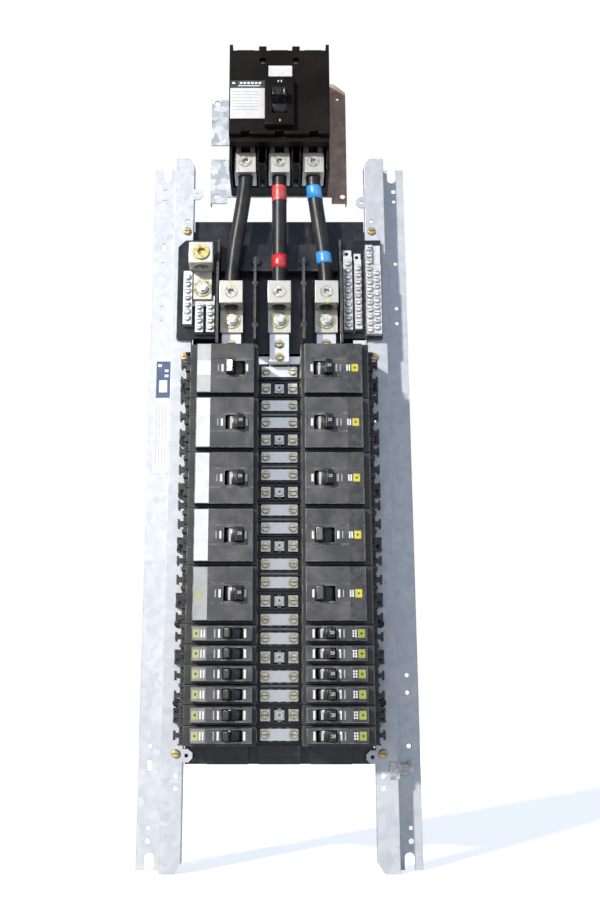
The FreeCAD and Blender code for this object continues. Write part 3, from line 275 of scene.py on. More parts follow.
def scratch_group():
    """Fine straight scuffs in two directions, as handling leaves on plastic and plate."""
    group, given, made = make_group("fine_scratches", (("Density", 0.5),),
                                    (("Mask", "NodeSocketFloat"),))
    where = place(group, "ShaderNodeTexCoord")
    lines = []
    for turn, stretch in ((0.5, (900, 900, 14)), (-0.9, (14, 900, 700))):
        mapping = place(group, "ShaderNodeMapping", None,
                        {"Rotation": (0, turn, 0), "Scale": stretch})
        group.links.new(where.outputs["Object"], mapping.inputs["Vector"])
        streak = place(group, "ShaderNodeTexNoise", None, {"Scale": 1.0, "Detail": 2.0})
        group.links.new(mapping.outputs["Vector"], streak.inputs["Vector"])
        lines.append(above(group, streak.outputs["Fac"], 0.66, 9.0))
    both = maths(group, "MAXIMUM", lines[0], lines[1])
    group.links.new(maths(group, "MULTIPLY", both, given.outputs["Density"], True), made.inputs["Mask"])
    return group


def recess_shade_group():
    """Mask that is 1 deep in slots, sockets and corners: painted shade where little light reaches."""
    group, given, made = make_group("painted_recess_shade", (("Reach", 0.002), ("Strength", 2.0)),
                                    (("Mask", "NodeSocketFloat"),))
    open_sky = place(group, "ShaderNodeAmbientOcclusion", {"samples": 6})
    group.links.new(given.outputs["Reach"], open_sky.inputs["Distance"])
    shut = maths(group, "SUBTRACT", 1.0, open_sky.outputs["AO"])
    group.links.new(maths(group, "MULTIPLY", shut, given.outputs["Strength"], True), made.inputs["Mask"])
    return group


EDGE_WEAR = edge_wear_group()
PAINTED_RECESS_SHADE = recess_shade_group()
SETTLED_DUST = dust_group()
FINE_SCRATCHES = scratch_group()


def effect(tree, group, sockets):
    """The mask of a shared effect, with its settings."""
    return place(tree, "ShaderNodeGroup", {"node_tree": group}, sockets).outputs["Mask"]


def overlay(material, mask, colour):
    """Lays one more colour over a finished material where the mask is 1."""
    tree = material.node_tree
    paint = tree.nodes["Principled BSDF"].inputs["Base Color"]
    tone = paint.links[0].from_socket
    tree.links.new(blend_colour(tree, mask, tone, colour), paint)


def dress(node, material):
    """Gives a CAD node its material."""
    mesh = NODES[node].data
    mesh.materials.clear()
    mesh.materials.append(material)


def round_edges(node, width, segments=2):
    """Welds a CAD node's triangles and rounds its sharp edges, as a mould or a brake does."""
    piece = NODES[node]
    weld = piece.modifiers.new("weld", "WELD")
    weld.merge_threshold = 2e-6
    soften = piece.modifiers.new("rounded", "BEVEL")
    soften.width = width
    soften.segments = segments
    soften.limit_method = "ANGLE"
    soften.angle_limit = math.radians(40)
    soften.use_clamp_overlap = True
    soften.harden_normals = True


def galvanised_finish(name, light, dark, metallic):
    """Zinc spangle: crystals of slightly different greys, dulled, with rusty marks."""
    material, tree, shader = new_finish(name, metallic, 0.4)
    spot = object_place(tree)
    warp = place(tree, "ShaderNodeTexNoise", None, {"Scale": 35.0, "Detail": 2.0})
    tree.links.new(spot, warp.inputs["Vector"])
    bent = place(tree, "ShaderNodeVectorMath", {"operation": "SCALE"}, {"Scale": 0.012})
    tree.links.new(warp.outputs["Color"], bent.inputs[0])
    moved = place(tree, "ShaderNodeVectorMath", {"operation": "ADD"})
    tree.links.new(spot, moved.inputs[0])
    tree.links.new(bent.outputs[0], moved.inputs[1])
    crystal = place(tree, "ShaderNodeTexVoronoi", None, {"Scale": 150.0})
    tree.links.new(moved.outputs[0], crystal.inputs["Vector"])
    split = place(tree, "ShaderNodeSeparateColor")
    tree.links.new(crystal.outputs["Color"], split.inputs[0])
    tone = ramp(tree, split.outputs[0], ((0.0, dark), (1.0, light)))
    cloud = noise(tree, spot, 9.0, 4.0)
    haze = ramp(tree, cloud, ((0.3, (0.62, 0.66, 0.72)), (0.7, (0.95, 0.96, 0.98))))
    tone = blend_colour(tree, 0.35, tone, haze, "MULTIPLY")
    wear = effect(tree, EDGE_WEAR, {"Radius": 0.0022, "Break Up": 45.0})
    tone = blend_colour(tree, maths(tree, "MULTIPLY", wear, 0.5), tone, (0.30, 0.17, 0.08))
    stain = above(tree, noise(tree, spot, 22.0, 5.0, 0.7), 0.63, 7.0)
    tone = blend_colour(tree, maths(tree, "MULTIPLY", stain, 0.55), tone, (0.36, 0.24, 0.13))
    scuffs = effect(tree, FINE_SCRATCHES, {"Density": 0.5})
    tone = blend_colour(tree, maths(tree, "MULTIPLY", scuffs, 0.4), tone, (0.33, 0.35, 0.38))
    tree.links.new(tone, shader.inputs["Base Color"])
    gloss = maths(tree, "ADD", maths(tree, "MULTIPLY", split.outputs[1], 0.16), 0.36)
    gloss = maths(tree, "ADD", gloss, maths(tree, "MULTIPLY", scuffs, 0.15))
    tree.links.new(gloss, shader.inputs["Roughness"])
    bump(tree, maths(tree, "ADD", split.outputs[2], cloud), 0.12, 0.0006, shader)
    return material


galvanised = galvanised_finish("galvanised_sheet", (0.55, 0.565, 0.585), (0.48, 0.50, 0.53), 0.35)
for rail in ("left_rail", "right_rail"):
    dress(rail, galvanised)


# ---------------------------------------------------------------------------------------
# Pan of the main breaker. A flanged plate of the same sheet, bolted to the enclosure back
# by its wings. Spangled at the left; the brown over the right wing is a painted reflection of brown
# surroundings.

def pan_finish():
    material = galvanised_finish("pan_weathered_with_painted_reflection", (0.70, 0.73, 0.76), (0.36, 0.40, 0.44), 0.4)
    tree = material.node_tree
    patches = noise(tree, object_place(tree), 55.0, 6.0, 0.7)
    # Painted reflection: the brown laid over the right wing stands for brown surroundings mirrored in the
    # sheet.
    brown_reflection = ramp(tree, patches, ((0.25, (0.20, 0.12, 0.09)), (0.5, (0.38, 0.25, 0.19)),
                                (0.8, (0.60, 0.44, 0.36))))
    side = maths(tree, "ADD", maths(tree, "MULTIPLY", along(tree, "X"), 30.0),
                 maths(tree, "MULTIPLY", patches, 0.9))
    overlay(material, above(tree, side, 1.6, 4.0), brown_reflection)
    return material


dress("mounting_pan", pan_finish())


# ---------------------------------------------------------------------------------------
# Moulded bases and carriers. Compression-moulded black insulation: glossy where the tool
# was polished, greyed by dust and rubbed along its edges.

def moulding_finish(name, colour, roughness, dust, wear_colour, wear, grain=0.25):
    """Moulded plastic: cloudy colour, dust film, scuffs, rubbed edges and painted shade in the recesses.
    """
    material, tree, shader = new_finish(name, 0.0, roughness)
    spot = object_place(tree)
    tint = noise(tree, spot, 14.0, 4.0)
    lighter = tuple(min(1.0, c * 1.5 + 0.004) for c in colour)
    tone = ramp(tree, tint, ((0.3, colour), (0.75, lighter)))
    film = effect(tree, SETTLED_DUST, {"Amount": dust, "Scale": 42.0})
    tone = blend_colour(tree, film, tone, (0.20, 0.19, 0.18))
    lines = effect(tree, FINE_SCRATCHES, {"Density": 0.6})
    tone = blend_colour(tree, maths(tree, "MULTIPLY", lines, 0.10), tone, wear_colour)
    edges = effect(tree, EDGE_WEAR, {"Radius": 0.0011, "Break Up": 160.0})
    tone = blend_colour(tree, maths(tree, "MULTIPLY", edges, wear), tone, wear_colour)
    # Painted shade: recesses darkened towards black by ambient occlusion.
    recess_shade_mask = effect(tree, PAINTED_RECESS_SHADE, {"Reach": 0.004, "Strength": 1.5})
    tone = blend_colour(tree, maths(tree, "MULTIPLY", recess_shade_mask, 0.9), tone, (0.003, 0.003, 0.003))
    tree.links.new(tone, shader.inputs["Base Color"])
    rough = maths(tree, "ADD", maths(tree, "MULTIPLY", film, 0.35), roughness)
    rough = maths(tree, "ADD", rough, maths(tree, "MULTIPLY", tint, 0.08))
    tree.links.new(rough, shader.inputs["Roughness"])
    bump(tree, noise(tree, spot, 900.0), grain, 0.0002, shader)
    return material


base_black = moulding_finish("base_black", (0.007, 0.008, 0.011), roughness=0.16, dust=0.14,
                             wear_colour=(0.16, 0.16, 0.17), wear=0.4)
for node in ("interior_base", "lug_base", "terminal_bar_bases"):
    dress(node, base_black)
    round_edges(node, 0.35 * MM)


# ---------------------------------------------------------------------------------------
# Phase barriers. Thin black sheets of fish paper and moulded fins that stand between
# the lugs; dull, with paler rubbed rims.

dress("phase_barriers", moulding_finish("barrier_black", (0.012, 0.012, 0.013), roughness=0.45, dust=0.25,
                                        wear_colour=(0.30, 0.30, 0.30), wear=0.8))
round_edges("phase_barriers", 0.3 * MM)


# ---------------------------------------------------------------------------------------
# Bus bars and branch connectors. Copper bar, sheared, tin plated and pressed into the
# base: bright, faintly brushed along the bar and yellowed round the screws.

def plated_finish(name, colour, roughness, streak, warm, metallic):
    """Plated or drawn bar: streaks by the stretch of the grain, warm clouds, dull edges and painted shade
    in recesses.
    """
    material, tree, shader = new_finish(name, metallic, roughness)
    spot = object_place(tree)
    drawn = noise(tree, object_place(tree, streak), 1.0, 4.0)
    cloud = noise(tree, spot, 70.0, 4.0)
    tone = ramp(tree, drawn, ((0.3, tuple(c * 0.80 for c in colour)), (0.7, colour)))
    tone = blend_colour(tree, above(tree, cloud, 0.5, 2.4), tone, warm)
    edges = effect(tree, EDGE_WEAR, {"Radius": 0.0006, "Break Up": 90.0})
    tone = blend_colour(tree, maths(tree, "MULTIPLY", edges, 0.3), tone, (0.45, 0.36, 0.24))
    # Painted shade: recesses darkened towards dark brown.
    recess_shade_mask = effect(tree, PAINTED_RECESS_SHADE, {"Reach": 0.003, "Strength": 0.9})
    tone = blend_colour(tree, recess_shade_mask, tone, (0.05, 0.04, 0.03))
    tree.links.new(tone, shader.inputs["Base Color"])
    rough = maths(tree, "ADD", maths(tree, "MULTIPLY", drawn, 0.18), roughness)
    tree.links.new(rough, shader.inputs["Roughness"])
    bump(tree, drawn, 0.15, 0.0002, shader)
    return material


tin_plate = plated_finish("tin_plate", (0.97, 0.97, 0.97), roughness=0.24, streak=(40, 40, 1800),
                          warm=(0.95, 0.92, 0.86), metallic=0.85)
for node in ("bus_bars", "branch_connectors"):
    dress(node, tin_plate)
    round_edges(node, 0.3 * MM)


# ---------------------------------------------------------------------------------------
# Neutral and ground bars. Strips of extruded aluminium, drilled and tapped along their
# length: dull and streaked along the strip, with painted shade round the screws.

strip_metal = plated_finish("strip_aluminium", (0.74, 0.74, 0.73), roughness=0.34, streak=(900, 900, 40),
                            warm=(0.50, 0.46, 0.40), metallic=0.6)
for node in ("neutral_bars", "ground_bars"):
    dress(node, strip_metal)


# ---------------------------------------------------------------------------------------
# Cable lugs. Sawn from extruded aluminium bar, bored, drilled and tapped, then plated:
# pale and satin, with saw lines across the block.

lug_metal = plated_finish("lug_aluminium", (0.66, 0.64, 0.58), roughness=0.30, streak=(900, 900, 60),
                          warm=(0.66, 0.58, 0.44), metallic=0.8)
for node in ("main_bus_lugs", "neutral_lug", "main_breaker_lugs"):
    dress(node, lug_metal)
    round_edges(node, 0.35 * MM)


# ---------------------------------------------------------------------------------------
# Screws and bolts. Steel, cold headed and zinc plated: yellow passivated on the bus and
# the rails, clear on the lugs and bars, blackened on the breakers' wire screws.

def screw_finish(name, colour, stain, roughness, metallic=0.9):
    """Plated steel: stained in clouds, bright on the edges, with painted shade dark in the slot."""
    material, tree, shader = new_finish(name, metallic, roughness)
    spot = object_place(tree)
    cloud = noise(tree, spot, 260.0, 4.0)
    tone = ramp(tree, cloud, ((0.32, stain), (0.62, colour)))
    edges = effect(tree, EDGE_WEAR, {"Radius": 0.0005, "Break Up": 300.0})
    bright = tuple(min(1, c * 1.35) for c in colour)
    tone = blend_colour(tree, maths(tree, "MULTIPLY", edges, 0.45), tone, bright)
    # Painted shade: the slot and the foot of the head darkened by ambient occlusion.
    recess_shade_mask = effect(tree, PAINTED_RECESS_SHADE, {"Reach": 0.0014, "Strength": 1.6})
    tone = blend_colour(tree, recess_shade_mask, tone, (0.02, 0.016, 0.012))
    tree.links.new(tone, shader.inputs["Base Color"])
    rough = maths(tree, "ADD", maths(tree, "MULTIPLY", cloud, 0.25), roughness)
    tree.links.new(rough, shader.inputs["Roughness"])
    bump(tree, cloud, 0.2, 0.0002, shader)
    return material


def two_plate_finish(name, first, second, past):
    """Screws of one kind in two platings: the second one where the mask in past is 1."""
    material = screw_finish(name, first, tuple(c * 0.62 for c in first), 0.2)
    tree = material.node_tree
    # The blend that lays the painted recess shade over the plating; its clean input is relaid below.
    shade_blend = tree.nodes["Principled BSDF"].inputs["Base Color"].links[0].from_node
    clean = shade_blend.inputs[6].links[0].from_socket
    cloud = noise(tree, object_place(tree), 260.0, 4.0)
    tone = ramp(tree, cloud, ((0.32, (0.50, 0.44, 0.30)), (0.62, second)))
    tree.links.new(blend_colour(tree, past(tree), clean, tone), shade_blend.inputs[6])
    return material


def off_middle(tree):
    """The outer screws of the branch connectors, beyond the centre socket."""
    return maths(tree, "GREATER_THAN", maths(tree, "ABSOLUTE", along(tree, "X")), 6 * MM)


def right_of_neutral(tree):
    """The set screws of the phase lugs, to the right of the neutral lug."""
    return maths(tree, "GREATER_THAN", along(tree, "X"), -70 * MM)


dress("connector_screws",
      two_plate_finish("yellow_zinc", (0.95, 0.96, 0.98), (1.0, 0.93, 0.68), off_middle))


def bolt_finish():
    """Yellow-passivated washers under a clear-plated head: the split is a height along Y."""
    material = screw_finish("yellow_bolt", (0.66, 0.62, 0.36), (0.30, 0.26, 0.12), 0.22)
    tree = material.node_tree
    head_height = 4.6 * MM
    head = maths(tree, "LESS_THAN", along(tree, "Y"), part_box("tang_bolts")[0].y + head_height)
    cloud = noise(tree, object_place(tree), 300.0)
    overlay(material, head, ramp(tree, cloud, ((0.3, (0.50, 0.49, 0.46)), (0.6, (0.88, 0.87, 0.82)))))
    return material


dress("tang_bolts", bolt_finish())


def rail_screw_finish():
    """Yellow-passivated screws, with blackened ones in the middle of the breaker rows."""
    material = screw_finish("brass_yellow_zinc", (0.62, 0.48, 0.24), (0.30, 0.19, 0.09), 0.28)
    tree = material.node_tree
    middle_z, reach = -181.5 * MM, 60 * MM
    away = maths(tree, "ABSOLUTE", maths(tree, "SUBTRACT", along(tree, "Z"), middle_z))
    overlay(material, maths(tree, "LESS_THAN", away, reach), (0.03, 0.03, 0.032))
    return material


dress("mounting_screws", rail_screw_finish())
dress("lug_set_screws",
      two_plate_finish("clear_zinc", (0.82, 0.68, 0.28), (0.90, 0.88, 0.82), right_of_neutral))
dress("bar_screws", screw_finish("bar_zinc", (0.95, 0.95, 0.94), (0.40, 0.41, 0.43), 0.22, metallic=0.6))
dress("load_terminal_screws",
      screw_finish("black_oxide", (0.06, 0.055, 0.05), (0.025, 0.022, 0.02), 0.35, metallic=0.6))
dress("spring_clip", screw_finish("spring_steel", (0.55, 0.56, 0.57), (0.25, 0.24, 0.22), 0.3))


# ---------------------------------------------------------------------------------------
# Main cables. Stranded aluminium in smooth black cross-linked insulation, faintly drawn
# along its length and scuffed where it was pulled in.

def jacket_finish():
    material, tree, shader = new_finish("cable_jacket", 0.0, 0.4)
    spot = object_place(tree)
    drawn = noise(tree, object_place(tree, (700, 700, 9)), 1.0, 3.0)
    tone = ramp(tree, drawn, ((0.35, (0.008, 0.008, 0.009)), (0.8, (0.022, 0.022, 0.024))))
    film = effect(tree, SETTLED_DUST, {"Amount": 0.08, "Scale": 50.0})
    tree.links.new(blend_colour(tree, film, tone, (0.25, 0.24, 0.23)), shader.inputs["Base Color"])
    rough = maths(tree, "ADD", maths(tree, "MULTIPLY", drawn, 0.2), 0.28)
    tree.links.new(rough, shader.inputs["Roughness"])
    shader.inputs["Specular IOR Level"].default_value = 0.3
    bump(tree, maths(tree, "ADD", drawn, noise(tree, spot, 300.0)), 0.2, 0.0003, shader)
    return material


dress("main_cables", jacket_finish())


# ---------------------------------------------------------------------------------------
# Phase tape. Two turns of vinyl tape round the middle and the right cable at each end,
# red for one phase and blue for the other; thin, stretched and a little glossy.

TAPE_THICKNESS = 0.35 * MM
# Name, the cable's range in X, the tape's range in Z, colour and slant.
TAPE_BANDS = (("red_tape_upper", (-0.015, 0.015), (0.3170, 0.3345), "red", 0.06),
              ("red_tape_lower", (-0.015, 0.015), (0.2385, 0.2540), "red", -0.05),
              ("blue_tape_upper", (0.025, 0.070), (0.3190, 0.3350), "blue", -0.04),
              ("blue_tape_lower", (0.025, 0.070), (0.2440, 0.2570), "blue", 0.05))


def tape_finish(name, colour, deep):
    material, tree, shader = new_finish(name, 0.0, 0.34)
    spot = object_place(tree)
    cloud = noise(tree, spot, 120.0, 4.0)
    lap = place(tree, "ShaderNodeTexWave", {"bands_direction": "Z"},
                {"Scale": 34.0, "Distortion": 1.2})
    tree.links.new(spot, lap.inputs["Vector"])
    tone = ramp(tree, cloud, ((0.3, deep), (0.7, colour)))
    film = effect(tree, SETTLED_DUST, {"Amount": 0.25, "Scale": 80.0})
    tree.links.new(blend_colour(tree, film, tone, (0.55, 0.52, 0.50)), shader.inputs["Base Color"])
    rough = maths(tree, "ADD", maths(tree, "MULTIPLY", cloud, 0.2), 0.24)
    tree.links.new(rough, shader.inputs["Roughness"])
    bump(tree, maths(tree, "ADD", lap.outputs["Fac"], cloud), 0.35, 0.0003, shader)
    return material


TAPES = {"red": tape_finish("red_tape", (0.62, 0.018, 0.022), (0.42, 0.008, 0.012)),
         "blue": tape_finish("blue_tape", (0.012, 0.30, 0.72), (0.006, 0.19, 0.52))}


def tape_band(name, x_range, z_range, colour, lean):
    """Lifts a stretch of the cable's own surface and thickens it outwards."""
    work = bmesh.new()
    work.from_mesh(NODES["main_cables"].data)
    bmesh.ops.remove_doubles(work, verts=work.verts, dist=1e-6)
    middle_x = sum(x_range) / 2
    strangers = [v for v in work.verts if not x_range[0] < v.co.x < x_range[1]]
    bmesh.ops.delete(work, geom=strangers, context="VERTS")
    for z, way in zip(z_range, (-1, 1)):
        everything = work.verts[:] + work.edges[:] + work.faces[:]
        bmesh.ops.bisect_plane(work, geom=everything, plane_co=(middle_x, 0, z),
                               plane_no=(lean, 0, way), clear_outer=True)
    mesh = bpy.data.meshes.new(name)
    work.to_mesh(mesh)
    work.free()
    piece = bpy.data.objects.new(name, mesh)
    bpy.context.scene.collection.objects.link(piece)
    for polygon in mesh.polygons:
        polygon.use_smooth = True
    thick = piece.modifiers.new("tape", "SOLIDIFY")
    thick.thickness = TAPE_THICKNESS
    thick.offset = 1
    mesh.materials.append(TAPES[colour])
    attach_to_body(piece, FRAME_BODY)


for band in TAPE_BANDS:
    tape_band(*band)


# ---------------------------------------------------------------------------------------
# Main breaker shells. Two glass-filled moulded halves, brown-black with a low gloss and
# vertical flow lines; the raised escutcheon is polished.

def main_case_finish():
    material = moulding_finish("main_case", (0.0045, 0.0028, 0.0024), roughness=0.34, dust=0.02,
                               wear_colour=(0.10, 0.085, 0.08), wear=0.4, grain=0.3)
    tree = material.node_tree
    tree.nodes["Principled BSDF"].inputs["Specular IOR Level"].default_value = 0.09
    flow = above(tree, noise(tree, object_place(tree, (420, 420, 5)), 1.0, 4.0), 0.52, 3.0)
    overlay(material, maths(tree, "MULTIPLY", flow, 0.3), (0.03, 0.016, 0.013))
    return material


main_case = main_case_finish()
for node in ("main_breaker_base", "main_breaker_cover"):
    dress(node, main_case)
    round_edges(node, 0.5 * MM)
dress("main_contact_bar", moulding_finish("contact_carrier", (0.16, 0.06, 0.04), roughness=0.5, dust=0.1,
                                          wear_colour=(0.4, 0.3, 0.25), wear=0.3))


# ---------------------------------------------------------------------------------------
# Toggles. Black glass-filled moulding, smooth from use. Each one rides in its own case and
# turns on its drum.

toggle_black = moulding_finish("toggle_black", (0.005, 0.005, 0.006), roughness=0.22, dust=0.04,
                               wear_colour=(0.20, 0.19, 0.18), wear=0.5)
for node in NODES:
    if "handle" in node:
        dress(node, toggle_black)
        round_edges(node, 0.35 * MM)


# ---------------------------------------------------------------------------------------
# Branch breaker cases. Two dark grey thermoset halves riveted together, satin, dusty and
# scuffed from storage; paler on the rims.

SHOULDER_Y = -0.0968


def case_finish():
    """Darker behind the raised face, on the shoulders and sides."""
    material = moulding_finish("case_grey", (0.030, 0.030, 0.033), roughness=0.30, dust=0.34,
                               wear_colour=(0.42, 0.42, 0.43), wear=0.8, grain=0.3)
    tree = material.node_tree
    behind = maths(tree, "GREATER_THAN", along(tree, "Y"), SHOULDER_Y)
    overlay(material, maths(tree, "MULTIPLY", behind, 0.6), (0.006, 0.006, 0.007))
    return material


case_grey = case_finish()
CASES = [node for node in NODES if "_case" in node]
for node in CASES:
    dress(node, case_grey)
    round_edges(node, 0.4 * MM)


# ---------------------------------------------------------------------------------------
# Printed markings of the branch breakers. Pale or dark adhesive labels at the outer end of
# each face, a yellow rating square with a black dot, white code bars and ON and OFF bars.

FACE_Y = -0.098
POLE_PITCH = 0.01905
CARD = 0.12 * MM


def repeat_tree(name, sizes, kind):
    """Geometry Nodes: one thin solid of a kind on each point, realised, with its finish."""
    tree = bpy.data.node_groups.new(name, "GeometryNodeTree")
    tree.interface.new_socket("Geometry", in_out="INPUT", socket_type="NodeSocketGeometry")
    for socket in sizes:
        tree.interface.new_socket(socket, in_out="INPUT", socket_type="NodeSocketFloat")
    tree.interface.new_socket("Finish", in_out="INPUT", socket_type="NodeSocketMaterial")
    tree.interface.new_socket("Geometry", in_out="OUTPUT", socket_type="NodeSocketGeometry")
    given, made = tree.nodes.new("NodeGroupInput"), tree.nodes.new("NodeGroupOutput")
    shape = tree.nodes.new(kind)
    spread = tree.nodes.new("GeometryNodeInstanceOnPoints")
    solid = tree.nodes.new("GeometryNodeRealizeInstances")
    finish = tree.nodes.new("GeometryNodeSetMaterial")
    tree.links.new(given.outputs["Geometry"], spread.inputs["Points"])
    tree.links.new(shape.outputs["Mesh"], spread.inputs["Instance"])
    tree.links.new(spread.outputs[0], solid.inputs[0])
    tree.links.new(solid.outputs[0], finish.inputs["Geometry"])
    tree.links.new(given.outputs["Finish"], finish.inputs["Material"])
    tree.links.new(finish.outputs[0], made.inputs[0])
    return tree, given, shape, spread


def card_tree():
    """One thin upright card on each point, facing forward."""
    tree, given, card, _ = repeat_tree("thin_cards", ("Width", "Height", "Thickness"),
                                       "GeometryNodeMeshCube")
    size = tree.nodes.new("ShaderNodeCombineXYZ")
    for socket, axis in (("Width", "X"), ("Thickness", "Y"), ("Height", "Z")):
        tree.links.new(given.outputs[socket], size.inputs[axis])
    tree.links.new(size.outputs[0], card.inputs["Size"])
    return tree


def disc_tree():
    """One thin disc on each point, facing forward."""
    tree, given, disc, spread = repeat_tree("thin_discs", ("Radius", "Thickness"),
                                            "GeometryNodeMeshCylinder")
    disc.inputs["Vertices"].default_value = 24
    spread.inputs["Rotation"].default_value = (math.pi / 2, 0, 0)
    tree.links.new(given.outputs["Radius"], disc.inputs["Radius"])
    tree.links.new(given.outputs["Thickness"], disc.inputs["Depth"])
    return tree


THIN_CARDS = card_tree()
THIN_DISCS = disc_tree()


def attach(name, mesh, body):
    """Puts a mesh in the scene as a piece of a body."""
    piece = bpy.data.objects.new(name, mesh)
    bpy.context.scene.collection.objects.link(piece)
    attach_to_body(piece, body)


def spread_out(name, tree, centres, sizes, finish):
    """Runs a tree on points at the centres and keeps the result as one plain mesh."""
    points = bpy.data.meshes.new(name + "_points")
    points.from_pydata([tuple(c) for c in centres], [], [])
    source = bpy.data.objects.new(name + "_points", points)
    bpy.context.scene.collection.objects.link(source)
    spread = source.modifiers.new("spread", "NODES")
    spread.node_group = tree
    values = dict(sizes)
    values["Finish"] = finish
    for item in tree.interface.items_tree:
        if item.in_out == "INPUT" and item.name in values:
            spread[item.identifier] = values[item.name]
    bpy.context.view_layer.update()
    ready = source.evaluated_get(bpy.context.evaluated_depsgraph_get())
    mesh = bpy.data.meshes.new_from_object(ready)
    mesh.name = name
    bpy.data.objects.remove(source)
    attach(name, mesh, FRAME_BODY)


def cards(name, spots, width, height, finish, thickness=CARD):
    """Thin cards on faces that look forward; a spot is (x, y of the face, z)."""
    centres = [(x, y - thickness / 2, z) for x, y, z in spots]
    sizes = {"Width": width, "Height": height, "Thickness": thickness}
    spread_out(name, THIN_CARDS, centres, sizes, finish)


def discs(name, spots, radius, finish, thickness=CARD):
    """Thin discs on faces that look forward."""
    centres = [(x, y - thickness / 2, z) for x, y, z in spots]
    sizes = {"Radius": radius, "Thickness": thickness}
    spread_out(name, THIN_DISCS, centres, sizes, finish)


def print_finish(name, colour, faded, roughness):
    """Ink or label stock, unevenly faded and finely soiled."""
    material, tree, shader = new_finish(name, 0.0, roughness)
    spot = object_place(tree)
    cloud = noise(tree, spot, 95.0, 5.0, 0.65)
    tone = ramp(tree, cloud, ((0.25, faded), (0.75, colour)))
    film = effect(tree, SETTLED_DUST, {"Amount": 0.12, "Scale": 130.0})
    tree.links.new(blend_colour(tree, film, tone, (0.42, 0.40, 0.36)), shader.inputs["Base Color"])
    rough = maths(tree, "ADD", maths(tree, "MULTIPLY", cloud, 0.2), roughness)
    tree.links.new(rough, shader.inputs["Roughness"])
    bump(tree, cloud, 0.1, 0.0001, shader)
    return material


white_label = print_finish("white_label", (0.66, 0.66, 0.66), (0.50, 0.50, 0.50), 0.4)
cream_label = print_finish("cream_label", (0.74, 0.73, 0.66), (0.60, 0.59, 0.50), 0.4)
pale_label = print_finish("pale_label", (0.36, 0.36, 0.36), (0.24, 0.24, 0.24), 0.35)
silver_label = print_finish("silver_label", (0.50, 0.50, 0.50), (0.36, 0.36, 0.36), 0.35)
worn_label = print_finish("worn_label", (0.22, 0.22, 0.21), (0.12, 0.12, 0.12), 0.35)
dark_label = print_finish("dark_label", (0.020, 0.020, 0.024), (0.013, 0.013, 0.016), 0.4)
navy_label = print_finish("navy_label", (0.010, 0.011, 0.030), (0.007, 0.008, 0.018), 0.3)
white_ink = print_finish("white_ink", (0.80, 0.80, 0.80), (0.50, 0.50, 0.50), 0.45)
grey_ink = print_finish("grey_ink", (0.42, 0.42, 0.42), (0.22, 0.22, 0.22), 0.45)
yellow_ink = print_finish("yellow_ink", (0.58, 0.50, 0.03), (0.42, 0.36, 0.02), 0.4)
olive_ink = print_finish("olive_ink", (0.30, 0.32, 0.03), (0.20, 0.22, 0.02), 0.4)
straw_ink = print_finish("straw_ink", (0.40, 0.39, 0.16), (0.30, 0.29, 0.12), 0.4)
black_ink = print_finish("black_ink", (0.010, 0.010, 0.012), (0.020, 0.020, 0.022), 0.5)


def rows_of_three(side):
    """Heights of the middles of one column's three-pole breakers, from the top."""
    boxes = [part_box(node) for node in CASES if node.startswith("three_pole") and side in node]
    return sorted(((low.z + high.z) / 2 for low, high in boxes), reverse=True)


left_three, right_three = rows_of_three("_left_"), rows_of_three("_right_")
case_low, case_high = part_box("single_pole_cases_left")
single_count = round((case_high.z - case_low.z) / POLE_PITCH)
single_pitch = (case_high.z - case_low.z) / single_count
singles = [case_high.z - (k + 0.5) * single_pitch for k in range(single_count)]

# Labels reach from seam to seam of a face, less its margins.
FACE_MARGINS = 6.5 * MM
three_tall = 3 * POLE_PITCH - FACE_MARGINS
single_tall = POLE_PITCH - FACE_MARGINS
LABEL_X = 76.5 * MM
LABEL_WIDTH = 13.6 * MM
OVER_LABEL = FACE_Y - CARD
OVER_PRINT = OVER_LABEL - CARD


def face_labels(name, x, rows, height, finish):
    cards(name, [(x, FACE_Y, z) for z in rows], LABEL_WIDTH, height, finish)


def face_print(name, x_places, rows, width, height, finish):
    """Print on top of the labels, at each x of each row."""
    cards(name, [(x, OVER_LABEL, z) for x in x_places for z in rows], width, height, finish)


first_left, last_left = left_three[0], left_three[-1]
face_labels("label_three_left", -LABEL_X, left_three[1:-1], three_tall, white_label)
face_labels("label_three_first", -LABEL_X, [first_left], three_tall, silver_label)
cards("label_three_first_patch", [(-LABEL_X, OVER_LABEL, first_left)], LABEL_WIDTH, 15 * MM, cream_label)
face_labels("label_three_last", -LABEL_X, [last_left], three_tall, pale_label)
cards("label_three_last_patch", [(-LABEL_X - 2 * MM, OVER_LABEL, last_left - 1 * MM)],
      6 * MM, 8 * MM, straw_ink)
face_labels("label_three_right", LABEL_X - 1 * MM, right_three, three_tall, dark_label)
face_labels("label_single_left", -LABEL_X, singles, single_tall, worn_label)
face_labels("label_single_right", LABEL_X, singles, single_tall, navy_label)

THREE_SQUARE_X, RIGHT_SQUARE_X, LEFT_SQUARE_X = 76.6 * MM, 78.6 * MM, -79.6 * MM
face_print("rating_square_three", (THREE_SQUARE_X,), right_three, 6.6 * MM, 7.8 * MM, yellow_ink)
face_print("rating_square_right", (RIGHT_SQUARE_X,), singles, 6.8 * MM, 8.0 * MM, olive_ink)
face_print("rating_square_left", (LEFT_SQUARE_X,), singles, 6.4 * MM, 8.0 * MM, straw_ink)
dot_places = [(x, OVER_PRINT, z) for x, rows in ((THREE_SQUARE_X, right_three), (RIGHT_SQUARE_X, singles),
                                                 (LEFT_SQUARE_X, singles)) for z in rows]
discs("rating_dots", dot_places, 1.1 * MM, black_ink)

dash_rows = [z + step for z in singles for step in (-2.5 * MM, 0, 2.5 * MM)]
face_print("code_bars_right", (68.8 * MM, 71.2 * MM), right_three, 1.5 * MM, 6.6 * MM, white_ink)
face_print("code_dashes_right", (70.8 * MM, 73.2 * MM), dash_rows, 1.5 * MM, 1.8 * MM, white_ink)
face_print("code_bars_left", (-74.6 * MM, -71.8 * MM), singles, 1.5 * MM, 7.4 * MM, white_ink)

